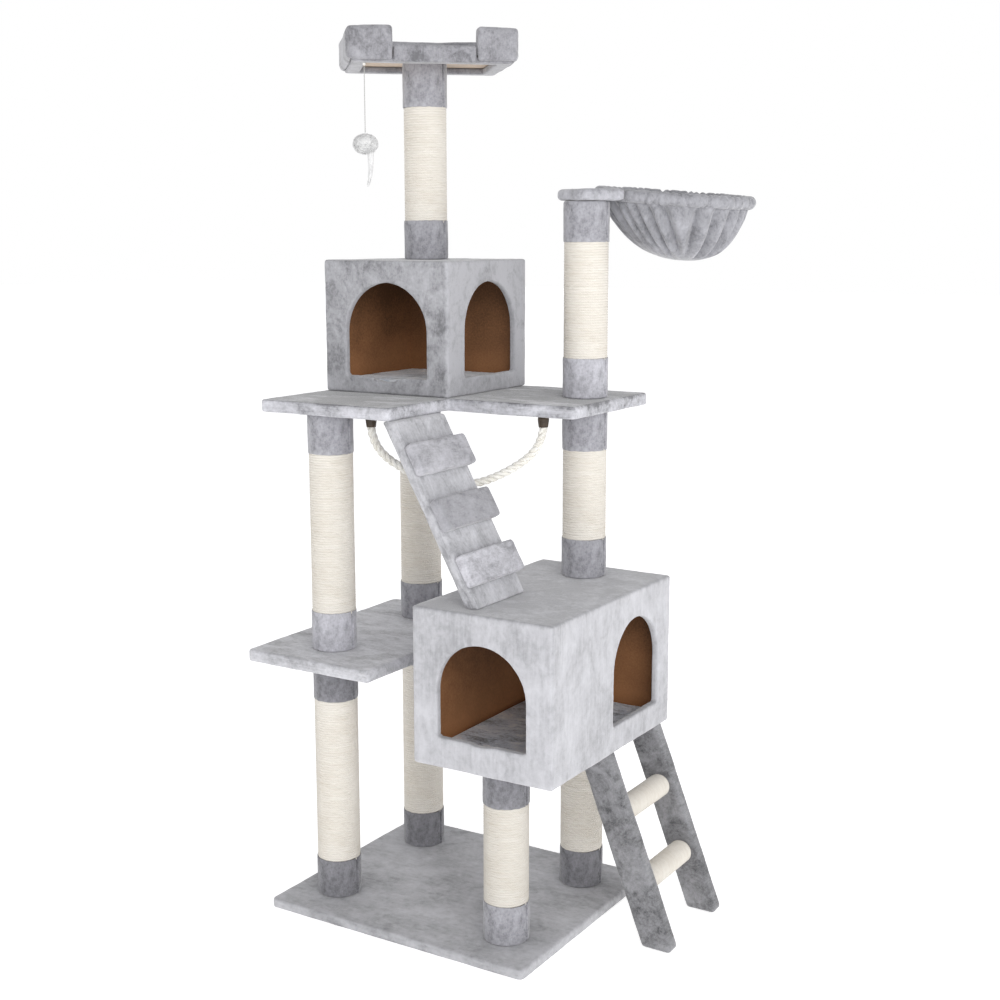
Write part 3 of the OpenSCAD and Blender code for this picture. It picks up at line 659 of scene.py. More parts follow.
# Each plush: its colour, how its nap stretches the patches, how fine they are and how strong
SIDEWAYS, UPRIGHT = (0.6, 1.0, 1.0), (1.0, 1.0, 0.8)
PLUSHES = {
    "lower_house": dict(colour=WALL_GREY, nap=(1.0, 1.0, 0.6), patch=9.0, contrast=0.65, top=0.07),
    "upper_house": dict(colour=HOUSE_GREY, nap=UPRIGHT, patch=13.0, contrast=1.1, side=0.075),
    "deck": dict(colour=DECK_GREY, nap=(0.5, 1.0, 1.0), patch=13.0, contrast=1.45, top=0.09),
    "shelf": dict(colour=WALL_GREY, nap=SIDEWAYS, patch=13.0, contrast=1.1),
    "base": dict(colour=BASE_GREY, nap=(0.7, 0.9, 1.0), patch=8.0, contrast=0.9),
    "collar": dict(colour=COLLAR_GREY, nap=UPRIGHT, patch=19.0, contrast=1.1),
    # Shaded and lit copies of the collars' plush: painted light and shade, and partly how the nap lies
    "collar_shaded": dict(colour=shaded(COLLAR_GREY, 0.63), nap=UPRIGHT, patch=19.0, contrast=1.2),
    "collar_lit": dict(colour=shaded(COLLAR_GREY, 1.38), nap=UPRIGHT, patch=19.0),
    "ramp": dict(colour=WALL_GREY, nap=SIDEWAYS, patch=14.0),
    "rail": dict(colour=RAIL_GREY, nap=(1.0, 1.0, 0.6), patch=17.0, contrast=1.5),
    "perch": dict(colour=PERCH_GREY, nap=UPRIGHT, patch=17.0, contrast=1.1),
    "bag": dict(colour=BAG_GREY, nap=UPRIGHT, patch=16.0),
    # The hammock's board: a lit copy of the bag's plush, painted lighter
    "bracket": dict(colour=shaded(BAG_GREY, 1.25), nap=UPRIGHT, patch=16.0),
    "mat": dict(colour=MAT_GREY, nap=(0.45, 1.0, 1.0), patch=17.0, contrast=2.0),
    **{f"step_{i + 1}": dict(colour=shaded(PERCH_GREY, share), nap=(1.0, 0.7, 1.0), patch=16.0)
       for i, share in enumerate(STEP_LIGHT_AND_SHADE)},
}


def make_materials():
    return {
        **{name: plush_material(f"plush_{name}", **look) for name, look in PLUSHES.items()},
        "sisal": sisal_material("sisal_rope"),
        # A shaded copy of the sisal: painted shade on the front right post
        "shaded_sisal": sisal_material("sisal_rope_shaded", 0.88),
        "fibreboard": board_material("fibreboard", (0.27, 0.125, 0.052), contrast=0.6),
        # The roofs' board: a shaded copy of the fibreboard, painted shade inside the houses
        "dark_fibreboard": board_material("dark_fibreboard", (0.13, 0.062, 0.027), contrast=0.6),
        "lower_fibreboard": board_material("fibreboard_lower_house", FIBRE_BROWN, contrast=0.6,
                                           dim=(0.58, 0.38)),
        "upper_fibreboard": board_material("fibreboard_upper_house", FIBRE_BROWN, contrast=0.6,
                                           dim=(1.17, 0.98)),
        "particle_board": board_material("particle_board", (0.52, 0.42, 0.33), fleck=140.0),
        "cardboard": cardboard_material(),
        "steel": steel_material(),
        "rope": rope_material(),
        "thread": thread_material(),
        "cap": cap_material(),
        "fur": fur_material(),
    }


def dress_frame():
    """The frame's own nodes take the material of their slot."""
    slots = {s["node"]: s["material_slot"] for s in frame["record"]["subparts"]}
    for name, obj in frame["nodes"].items():
        chosen = MATERIAL.get(slots[name], MATERIAL["lower_house"])
        # The roofs take the shaded copy of the board, and the houses' left and back panels the copies with
        # painted shade towards the top
        if name.endswith("_house_roof"):
            chosen = MATERIAL["dark_fibreboard"]
        elif name.endswith(("_house_left", "_house_back")):
            chosen = MATERIAL[name.split("_")[0] + "_fibreboard"]
        obj.data.materials.clear()
        obj.data.materials.append(chosen)


# ---------- swing rope ----------

ROPE_D = 16 * MM
ROPE_LEFT = np.array([-120, -114, 955]) * MM
ROPE_RIGHT = np.array([156, 48, 955]) * MM
# Along the line through both pivots and down from it; the right half mirrors the left one
ROPE_HALF = [[0, 0], [0, 16], [3, 31], [9, 47], [19, 62], [33, 75], [50, 87], [69, 98],
             [90, 108], [112, 116], [136, 121]]
ROPE_SAG = 122
ROPE_LAY = 40 * MM


def make_rope():
    """Three strands laid round each other, each with its own yarns."""
    chord = np.linalg.norm(ROPE_RIGHT - ROPE_LEFT)
    along = (ROPE_RIGHT - ROPE_LEFT) / chord
    half = np.array(ROPE_HALF) * MM
    far = half[::-1] * [-1, 1] + [chord, 0]
    route = np.concatenate([half, [[chord / 2, ROPE_SAG * MM]], far])
    line = smooth_line(ROPE_LEFT + route[:, :1] * along - route[:, 1:] * [0, 0, 1], 2 * MM)
    _, side, up = frames_along(line)
    s = np.arange(len(line)) * np.linalg.norm(line[1] - line[0])
    strand_r = ROPE_D / 2 / (1 + 2 / math.sqrt(3))
    offset = ROPE_D / 2 - strand_r
    sides = 18
    around = np.arange(sides) / sides * TURN
    meshes = []
    for k in range(3):
        a = s / ROPE_LAY * TURN + k * TURN / 3
        middle = line + offset * (np.cos(a)[:, None] * side + np.sin(a)[:, None] * up)
        yarns = 1 + 0.055 * np.cos(6 * around[None] - s[:, None] / ROPE_LAY * 2 * TURN)
        meshes.append(tube(middle, strand_r * 1.03 * yarns, sides))
    verts, faces = joined(meshes)
    rope = piece("swing_rope_strands", verts, faces, MATERIAL["rope"], ["swing_rope"], body="rope")


# ---------- toy ----------

STRING_D = 2 * MM
BALL_R, BALL_HALF_H = 25.5 * MM, 20 * MM
BALL_TUFTS, TAIL_TUFTS = 1500, 420


def make_toy_string():
    low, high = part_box("toy_string")
    x, y = (low.x + high.x) / 2, (low.y + high.y) / 2
    line = np.array([(x, y, z) for z in np.linspace(high.z, low.z, 61)])
    s = high.z - line[:, 2]
    meshes = []
    for k in range(2):
        a = s / (7 * MM) * TURN + k * math.pi
        thread = line + STRING_D / 4 * np.stack([np.cos(a), np.sin(a), 0 * a], axis=1)
        meshes.append(tube(thread, STRING_D / 4 * 1.08, 8))
    verts, faces = joined(meshes)
    string = piece("toy_string_threads", verts, faces, MATERIAL["thread"], ["toy_string"],
                   body="toy_line")


def tufts(roots, normals, length, width, lean, seed):
    """Tapered locks of fur standing on a surface, each a thin three-sided spike."""
    rng = np.random.default_rng(seed)
    n = len(roots)
    up = unit(normals + lean + rng.normal(0, 0.28, (n, 3)))
    bend = unit(up + lean * 0.9 + rng.normal(0, 0.25, (n, 3)))
    side = unit(np.cross(up, rng.normal(0, 1, (n, 3))))
    other = np.cross(up, side)
    size = length * rng.uniform(0.6, 1.15, (n, 1))
    verts = []
    for share, wide in ((0.0, 1.0), (0.55, 0.7)):
        middle = roots + up * size * share
        for k in range(3):
            a = k * TURN / 3
            verts.append(middle + width * wide * (math.cos(a) * side + math.sin(a) * other))
    verts.append(roots + up * size * 0.55 + bend * size * 0.45)
    faces = []
    for i in range(n):
        low = [k * n + i for k in range(3)]
        high = [(k + 3) * n + i for k in range(3)]
        tip = 6 * n + i
        faces.append((low[2], low[1], low[0]))
        for k in range(3):
            j = (k + 1) % 3
            faces.append((low[k], low[j], high[j], high[k]))
            faces.append((high[k], high[j], tip))
    return np.concatenate(verts), faces


def make_toy():
    """A round furry mouse: a flattened ball of locks with a long furry tail, and the loop on top."""
    low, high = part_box("toy_ball")
    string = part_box("toy_string")
    hang = np.array([(string[0].x + string[1].x) / 2, (string[0].y + string[1].y) / 2])
    middle = np.array([*hang, high.z - BALL_HALF_H])
    rng = np.random.default_rng(5)
    k = np.arange(BALL_TUFTS) + 0.5
    z = 1 - 2 * k / BALL_TUFTS
    a = k * math.pi * (3 - math.sqrt(5))
    ball = np.stack([np.sqrt(1 - z * z) * np.cos(a), np.sqrt(1 - z * z) * np.sin(a), z], axis=1)
    ball = unit(ball + rng.normal(0, 0.02, ball.shape))
    core_share = 0.90
    rings = []
    for t in np.linspace(0.02, math.pi - 0.02, 28):
        b = np.arange(40) / 40 * TURN
        rings.append(np.stack([math.sin(t) * np.cos(b), math.sin(t) * np.sin(b),
                               np.full(40, math.cos(t))], axis=1))
    rings = np.array(rings)[::-1]
    size = np.array([BALL_R, BALL_R, BALL_HALF_H]) * core_share
    lumps = 1 + 0.05 * noise(rings.reshape(-1, 3) * 0.02, 0.012, 31).reshape(rings.shape[:2])
    core = loft(middle + rings * lumps[..., None] * size)
    across = np.array([math.cos(PERCH_TURN), math.sin(PERCH_TURN), 0])
    lean = 0.35 * across + np.array([0, 0, -0.45])
    fur = tufts(middle + ball * size * 0.97, unit(ball / [1, 1, 0.8]), 2.8 * MM, 1.3 * MM, lean, 6)
    # The tail: full where it leaves the ball, and drawn out to a point that curls a little
    start = middle + across * 9 * MM + np.array([0, 0, -13 * MM])
    end = np.array([*(start[:2] - across[:2] * 9 * MM), low.z + 8 * MM])
    t = np.linspace(0, 1, 40)[:, None]
    line = start + (end - start) * t + across * (5 * MM) * np.sin(t * math.pi * 0.8)
    swell = (1.2 + 5.2 * (1 - t[:, 0]) ** 0.75) * MM
    tail = tube(line, swell[:, None], 14)
    _, side, up = frames_along(line)
    i = rng.integers(0, len(line) - 3, TAIL_TUFTS)
    b = rng.uniform(0, TURN, len(i))[:, None]
    out = np.cos(b) * side[i] + np.sin(b) * up[i]
    down = np.array([0, 0, -1.8])
    tail_fur = tufts(line[i] + out * swell[i][:, None] * 0.8, out, 2.6 * MM, 0.8 * MM, down, 8)
    verts, faces = joined([core, fur, tail, tail_fur])
    ball_piece = piece("toy_mouse", verts, faces, MATERIAL["fur"], ["toy_ball"], body="toy")
    make_knot()


def make_knot():
    """The string's knot: two crossed loops of thread about the pivot."""
    low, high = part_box("toy_knot")
    middle = np.array((low + high) / 2)
    r = (high.x - low.x) / 2
    meshes = []
    for k in range(3):
        a = np.linspace(0, TURN, 25)[:-1]
        turn = Matrix.Rotation(k * TURN / 6, 3, "Z") @ Matrix.Rotation(math.radians(35 + 30 * k), 3, "X")
        ring = np.stack([np.cos(a), np.sin(a), 0 * a], axis=1) * r * 0.62 @ np.array(turn).T
        ahead = unit(np.roll(ring, -1, 0) - np.roll(ring, 1, 0))
        out = unit(ring)
        up = np.cross(ahead, out)
        b = np.arange(8) / 8 * TURN
        rings = middle + ring[:, None] + r * 0.36 * (np.cos(b)[None, :, None] * out[:, None]
                                                    + np.sin(b)[None, :, None] * up[:, None])
        meshes.append(loft(rings, ends="meet"))
    verts, faces = joined(meshes)
    piece("toy_knot_loops", verts, faces, MATERIAL["rope"], ["toy_knot"], body="toy_loop")


# ---------- boards in plush ----------

BASE_SKIRT = 24 * MM      # how far below its open end the base's plush is laid out
NOTCH_R = 3 * MM


def cloth_prism(name, outline, z0, z1, material, nodes, edge_r=EDGE_R, voxel=4.5 * MM,
                place=None, open_below=None, shell=COVER_T, amount=0.55 * MM, seed=1):
    """Plush round a board: a prism with round, slightly uneven edges. open_below is where it ends."""
    verts, faces = remeshed([prism_mesh(outline, z0, z1)], voxel)
    verts, normals = settle(verts, lambda p: prism_distance(p, outline, z0, z1, edge_r))
    verts = verts + normals * (rumple(verts, amount, seed) - 0.35 * amount)[:, None]
    if open_below is not None:
        high = verts[:, 2] > open_below
        faces = [f for f in faces if any(high[i] for i in f)]
        verts, faces = without_loose(verts, faces)
        verts[:, 2] = np.maximum(verts[:, 2], open_below)
    return piece(name, verts, faces, material, nodes, place=place, shell=shell)


def make_base():
    low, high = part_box("base_cover")
    outline = rectangle(low.x, low.y, high.x, high.y, CORNER_R)
    cloth_prism("base_plush", outline, low.z - BASE_SKIRT, high.z, MATERIAL["base"],
                ["base_cover"], open_below=low.z, seed=10)


def make_shelf():
    low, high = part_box("shelf_cover")
    outline = rectangle(low.x, low.y, high.x, high.y, CORNER_R)
    cloth_prism("shelf_plush", outline, low.z, high.z, MATERIAL["shelf"], ["shelf_cover"],
                seed=20)


def make_platform():
    """The L: its notch starts at the upper house's front and right faces."""
    low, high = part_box("platform_cover")
    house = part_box("upper_house_cover")
    notch_x, notch_y = house[1].x, house[0].y
    corners = [(low.x, low.y), (notch_x, low.y), (notch_x, notch_y),
               (high.x, notch_y), (high.x, high.y), (low.x, high.y)]
    outline = rounded_outline(corners, [CORNER_R, CORNER_R, NOTCH_R, CORNER_R, CORNER_R, CORNER_R])
    cloth_prism("platform_plush", outline, low.z, high.z, MATERIAL["deck"],
                ["platform_cover"], seed=30)


# ---------- posts ----------

TUBE_R = 36.5 * MM
SISAL_PITCH = 4.8 * MM
SEAM_COLUMNS = (-7, -5, -4, -3, -2.2, -1.5, -0.9, -0.4, 0, 0.4, 0.9, 1.5, 2.2, 3, 4, 5, 7)
# Collars whose plush is painted darker or lighter, for the light and shade on each and partly for how its
# nap lies
COLLAR_SHADES = {
    "front_left_collar_1": "collar_shaded", "front_left_collar_2": "collar_shaded",
    "front_left_collar_3": "collar_lit", "front_right_collar_2": "collar_shaded",
    "back_left_collar_1": "collar_shaded", "back_right_collar_1": "collar_shaded",
    "back_right_collar_5": "collar_lit",
}
TUCK = 5 * MM             # how far a winding goes on under its collars


def make_collar(name, low, high, node, sisal_above, seed):
    """A soft sleeve with a butted seam on its right side. The winding's end lies under one end."""
    r = (high[0] - low[0]) / 2
    axis = np.array([(low[0] + high[0]) / 2, (low[1] + high[1]) / 2, 0])
    h = high[2] - low[2]
    seam = [s * MM / r for s in SEAM_COLUMNS]
    free = np.linspace(seam[-1], TURN + seam[0], 88)[1:-1]
    a = np.array(sorted([*seam, *free]))
    inner = TUBE_R + 0.6 * MM
    over_sisal = r - 1.0 * MM
    # The profile from the tube end to the sisal end, as (share of the height, radius)
    profile = [(0.004, inner), (0.004, r - 3 * MM), (0.012, r - 1.4 * MM), (0.035, r - 0.5 * MM)]
    profile += [(t, r - 0.1 * MM) for t in np.linspace(0.07, 0.93, 22)]
    profile += [(0.965, r - 0.15 * MM), (0.988, r - 0.35 * MM), (0.998, r - 0.8 * MM),
                (0.992, over_sisal - 0.6 * MM), (0.90, over_sisal - 0.8 * MM), (0.89, inner), (0.5, inner)]
    t = np.array([p[0] for p in profile])
    radius = np.array([p[1] for p in profile])
    z = low[2] + h * t if sisal_above else high[2] - h * t
    outer = ramp01(radius, r - 2.4 * MM, r - 1.2 * MM)
    ring_a, ring_z = np.meshgrid(a, z)
    r_grid = np.repeat(radius[:, None], len(a), axis=1)
    flat = np.stack([r * np.cos(ring_a), r * np.sin(ring_a), ring_z], axis=-1).reshape(-1, 3)
    uneven = rumple(flat + axis, 0.45 * MM, seed, size=0.035).reshape(ring_a.shape)
    arc = (ring_a + math.pi) % TURN - math.pi
    arc = arc * r / MM
    groove = (-3.9 * MM * np.exp(-(arc / 1.7) ** 2)
              + 0.7 * MM * np.exp(-((np.abs(arc) - 4.2) / 1.7) ** 2))
    r_grid = r_grid + (uneven + groove) * outer[:, None]
    fray = 0.7 * MM * noise(flat + axis, 6 * MM, seed + 7).reshape(ring_a.shape)
    ring_z = ring_z + fray * ((t > 0.95) & (t < 1.1))[:, None]
    rings = np.stack([r_grid * np.cos(ring_a), r_grid * np.sin(ring_a), ring_z - low[2]], axis=-1)
    verts, faces = loft(rings, ends="meet")
    if not sisal_above:
        faces = [f[::-1] for f in faces]
    place = Matrix.Translation((axis[0], axis[1], low[2]))
    piece(name, verts, faces, MATERIAL[COLLAR_SHADES.get(name, "collar")], [node],
          place=place)


def make_winding(name, r_out, length, place, node, seed, columns=72, sides=8):
    """A rope wound tightly round Z from 0 to length."""
    turns = length / SISAL_PITCH - 1
    rope_r = SISAL_PITCH / 2 * 1.5
    count = int(turns * columns)
    a = np.arange(count + 1) / columns * TURN
    rng = np.random.default_rng(seed)
    wobble = np.interp(a, np.arange(int(a[-1]) + 3) * 1.3, rng.normal(0, 0.10 * MM, int(a[-1]) + 3))
    lift = np.interp(a, np.arange(int(a[-1]) + 3) * 2.1, rng.normal(0, 0.05 * MM, int(a[-1]) + 3))
    middle_r = r_out - rope_r + lift
    z = SISAL_PITCH * (a / TURN + 0.5) + wobble
    b = np.arange(sides) / sides * TURN
    ring_r = middle_r[:, None] + rope_r * np.cos(b)[None]
    rings = np.stack([ring_r * np.cos(a)[:, None], ring_r * np.sin(a)[:, None],
                      z[:, None] + rope_r * np.sin(b)[None]], axis=-1)
    verts, faces = loft(rings)
    faces = [f[::-1] for f in faces]
    # The front right post's windings take the shaded copy of the sisal: painted shade
    material = MATERIAL["shaded_sisal" if name.startswith("front_right") else "sisal"]
    return piece(name, verts, faces, material, [node], place=place)


def make_posts():
    for post in ("front_left", "back_left", "front_right", "back_right", "perch"):
        windings = solids(f"{post}_post_sisal")
        for i, (low, high) in enumerate(windings):
            x, y = (low[0] + high[0]) / 2, (low[1] + high[1]) / 2
            place = Matrix.Translation((x, y, low[2] - TUCK))
            make_winding(f"{post}_sisal_winding_{i + 1}", (high[0] - low[0]) / 2,
                         high[2] - low[2] + 2 * TUCK, place, f"{post}_post_sisal", 40 + i)
        for i, (low, high) in enumerate(solids(f"{post}_post_collars")):
            make_collar(f"{post}_collar_{i + 1}", low, high, f"{post}_post_collars",
                        sisal_above=i % 2 == 0, seed=60 + 10 * i + len(post))


# ---------- houses ----------

HOUSE_EDGE_R = 5 * MM
LIP_R = 4 * MM
# Arches: the middle along the wall, the sill above the house's underside, width and height
ARCHES = {
    "lower": {"front": (144, 57, 182, 178), "side": (317, 51, 178, 187)},
    "upper": {"front": (145.5, 33, 188, 179), "side": (151, 34, 181, 180)},
}


def arch_outline(width, height, steps=20):
    """An arch with its sill at 0."""
    r = width / 2
    spring = height - r
    top = [(r * math.cos(t), spring + r * math.sin(t)) for t in np.linspace(0, math.pi, steps)]
    return [(-r, 0), (r, 0), *top]


def make_house(which, seed):
    """Plush over the whole box, turned in through the walls at both arches."""
    node = f"{which}_house_cover"
    low, high = (np.array(c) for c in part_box(node))
    front, side = ([v * MM for v in ARCHES[which][k]] for k in ("front", "side"))
    outline = rectangle(low[0], low[1], high[0], high[1], HOUSE_EDGE_R)

    def distance(p):
        box = prism_distance(p, outline, low[2], high[2], HOUSE_EDGE_R)
        front_arch = arch_distance(p[:, 0] - low[0] - front[0], p[:, 2] - low[2] - front[1], *front[2:])
        side_arch = arch_distance(p[:, 1] - low[1] - side[0], p[:, 2] - low[2] - side[1], *side[2:])
        front_arch = np.where(p[:, 1] < low[1] + 2 * SKIN_T, front_arch, 1.0)
        side_arch = np.where(p[:, 0] > high[0] - 2 * SKIN_T, side_arch, 1.0)
        return smooth_max(smooth_max(box, -front_arch, LIP_R), -side_arch, LIP_R)

    # Each pocket is laid out flat, with x along its wall, y up and z into the house
    deep = SKIN_T + 8 * MM
    over = 5 * MM
    onto_walls = (lambda x, y, z: (low[0] + front[0] + x, low[1] + z, low[2] + front[1] + y),
                  lambda x, y, z: (high[0] - z, low[1] + side[0] + x, low[2] + side[1] + y))
    pockets = []
    for arch, onto_wall in zip((front, side), onto_walls):
        flat, faces = prism_mesh(arch_outline(*arch[2:]), -over, deep)
        pockets.append(([onto_wall(*v) for v in flat], [f[::-1] for f in faces]))
    verts, faces = remeshed([prism_mesh(outline, low[2], high[2])], 4 * MM, pockets)

    # The pockets' floors go, and the lining ends at the panels' inner faces
    inner = (low + SKIN_T - 0.5 * MM, high - SKIN_T + 0.5 * MM)
    inside = ((verts > inner[0]) & (verts < inner[1])).all(1)
    faces = [f for f in faces if not all(inside[i] for i in f)]
    verts, faces = without_loose(verts, faces)
    inside = ((verts > inner[0]) & (verts < inner[1])).all(1)
    in_front = inside & (verts[:, 1] < low[1] + deep + over)
    ends = verts.copy()
    verts, normals = settle(verts, distance)
    swell = rumple(verts, 0.6 * MM, seed) - 0.2 * MM
    verts = verts + normals * swell[:, None]
    near_front = in_front & (np.abs(ends[:, 1] - low[1] - SKIN_T) < np.abs(high[0] - SKIN_T - ends[:, 0]))
    verts[near_front, 1] = low[1] + SKIN_T
    near_side = inside & ~near_front
    verts[near_side, 0] = high[0] - SKIN_T
    piece(f"{which}_house_plush", verts, faces, MATERIAL[f"{which}_house"], [node],
          shell=COVER_T)


def make_mat(name, node, place, size, material, seed, height=4 * MM):
    """A plush mat: an uneven pile on top and a flat back."""
    step = 4 * MM
    nx, ny = round(size[0] / step), round(size[1] / step)
    x = np.linspace(-size[0] / 2, size[0] / 2, nx + 1)
    y = np.linspace(-size[1] / 2, size[1] / 2, ny + 1)
    gx, gy = np.meshgrid(x, y, indexing="ij")
    edge = np.minimum(size[0] / 2 - np.abs(gx), size[1] / 2 - np.abs(gy))
    flat = np.stack([gx, gy, 0 * gx], axis=-1).reshape(-1, 3)
    pile = rumple(flat, 0.7 * MM, seed, size=0.03).reshape(gx.shape)
    top = 0.6 * MM + (height - 1.4 * MM + pile) * np.sqrt(np.clip(edge / height, 0, 1))
    verts = np.concatenate([flat + [0, 0, 0.2 * MM],
                            np.stack([gx, gy, top], axis=-1).reshape(-1, 3)])
    n = len(flat)
    index = np.arange(n).reshape(gx.shape)
    faces = []
    for i in range(nx):
        for j in range(ny):
            a, b, c, d = index[i, j], index[i + 1, j], index[i + 1, j + 1], index[i, j + 1]
            faces += [(a + n, b + n, c + n, d + n), (d, c, b, a)]
    rim = [*index[:, 0], *index[-1, 1:], *index[-2::-1, -1], *index[0, -2:0:-1]]
    faces += [(p, q, q + n, p + n) for p, q in zip(rim, rim[1:] + rim[:1])]
    piece(name, verts, faces, material, [node], place=place)


def make_houses():
    for which, seed in (("lower", 100), ("upper", 120)):
        make_house(which, seed)
        node = f"{which}_house_mat"
        low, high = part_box(node)
        place = Matrix.Translation(((low.x + high.x) / 2, (low.y + high.y) / 2, low.z))
        make_mat(f"{which}_house_mat_plush", node, place, (high.x - low.x, high.y - low.y),
                 MATERIAL["mat"], seed + 5, height=high.z - low.z)


# ---------- ramp ----------

RAMP_ANGLE = math.radians(61.2)
RAMP_T = 24 * MM


def ramp_place():
    """The ramp's own frame: from its top end, x down the slope, z out of the deck."""
    low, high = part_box("ramp_cover")
    top_x = high.x - (high.z - low.z) / math.tan(RAMP_ANGLE)
    return (Matrix.Translation((top_x, (low.y + high.y) / 2, high.z))
            @ Matrix.Rotation(RAMP_ANGLE, 4, "Y"))


def make_ramp():
    low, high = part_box("ramp_cover")
    place = ramp_place()
    rise = high.z - low.z
    length = rise / math.sin(RAMP_ANGLE)
    lag = RAMP_T / math.tan(RAMP_ANGLE)
    half = (high.y - low.y) / 2
    # The side outline, in x down the slope and y out of the deck; both ends are level cuts
    corners = [(0, 0), (-lag, -RAMP_T), (length - lag, -RAMP_T), (length, 0)]
    outline = rounded_outline([(x, y) for x, y in corners], 3 * MM, 3)
    on_edge = place @ Matrix.Rotation(math.radians(90), 4, "X")
    cloth_prism("ramp_plush", outline, -half, half, MATERIAL["ramp"], ["ramp_cover"],
                edge_r=6 * MM, voxel=4 * MM, place=on_edge, seed=140)
    back = place.inverted()
    mesh = frame["nodes"]["ramp_steps"].data
    local = np.array([back @ v.co for v in mesh.vertices])
    starts = sorted(set(np.round(local[:, 0], 4)))
    for i in range(0, len(starts), 2):
        x0, x1 = starts[i], starts[i + 1]
        y0, y1 = local[:, 1].min(), local[:, 1].max()
        outline = rectangle(x0, y0, x1, y1, 6.5 * MM)
        cloth_prism(f"ramp_step_{i // 2 + 1}", outline, 0.2 * MM, local[:, 2].max(),
                    MATERIAL[f"step_{i // 2 + 1}"], ["ramp_steps"],
                    edge_r=4.5 * MM, voxel=3.2 * MM, place=place, shell=0, amount=0.7 * MM,
                    seed=150 + i)


# ---------- ladder ----------

RAIL_FOOT_R = 8 * MM
RAIL_HEAD_R = 3 * MM


def make_ladder():
    for which in ("front", "back"):
        node = f"ladder_rail_{which}"
        co = np.array([v.co for v in frame["nodes"][node].data.vertices])
        foot = co[co[:, 2] < 1 * MM][:, 0]
        head = co[co[:, 2] > co[:, 2].max() - 1 * MM][:, 0]
        top = co[:, 2].max()
        y0, y1 = co[:, 1].min(), co[:, 1].max()
        # Laid out with the outline in X and Z, and the thickness along -Y
        corners = [(foot.min(), 0.5 * MM), (foot.max(), 0.5 * MM), (head.max(), top), (head.min(), top)]
        outline = rounded_outline(corners, [RAIL_FOOT_R, RAIL_FOOT_R, RAIL_HEAD_R, RAIL_HEAD_R], 5)
        place = Matrix.Rotation(math.radians(90), 4, "X")
        cloth_prism(f"{node}_plush", outline, -y1, -y0, MATERIAL["rail"], [node],
                    edge_r=4.5 * MM, voxel=3.5 * MM, place=place, shell=0, seed=170)
    for i, (low, high) in enumerate(solids("ladder_rung_sisal")):
        r = (high[2] - low[2]) / 2
        middle = Vector(((low[0] + high[0]) / 2, low[1], (low[2] + high[2]) / 2))
        place = Matrix.Translation(middle) @ Matrix.Rotation(math.radians(-90), 4, "X")
        make_winding(f"ladder_rung_winding_{i + 1}", r, high[1] - low[1], place, "ladder_rung_sisal",
                     180 + i, columns=48)


# ---------- perch ----------

PERCH_TURN = math.radians(41)
PERCH_W, PERCH_D = 322 * MM, 245 * MM
PERCH_RING_T = 12 * MM
PERCH_FRONT_H = 31 * MM
BOLSTER_T = 32 * MM
LEFT_STUB, RIGHT_STUB = 87 * MM, 80 * MM
SKIRT = 10 * MM           # the outer part of the bolster, which goes down over the ring


def perch_place():
    low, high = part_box("perch_mat")
    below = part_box("perch_frame")[0].z
    return (Matrix.Translation(((low.x + high.x) / 2, (low.y + high.y) / 2, below))
            @ Matrix.Rotation(PERCH_TURN, 4, "Z"))


def inflated(verts, faces, cap, pressure=4.0, frames=20):
    """The mesh blown up by cloth simulation, with no point moved further than cap."""
    obj = object_of("blown", mesh_of("blown", verts, faces))
    cloth = obj.modifiers.new("cloth", "CLOTH")
    cloth.settings.quality = 5
    cloth.settings.use_pressure = True
    cloth.settings.uniform_pressure_force = pressure
    cloth.settings.effector_weights.gravity = 0
    cloth.point_cache.frame_start = 1
    cloth.point_cache.frame_end = frames
    scene = bpy.context.scene
    for f in range(1, frames + 1):
        scene.frame_set(f)
    moved, _ = arrays_of(obj)
    scene.frame_set(1)
    bpy.data.meshes.remove(obj.data)
    shift = moved - verts
    size = np.linalg.norm(shift, axis=1, keepdims=True)
    return verts + shift * np.minimum(1, cap / np.maximum(size, 1e-9))


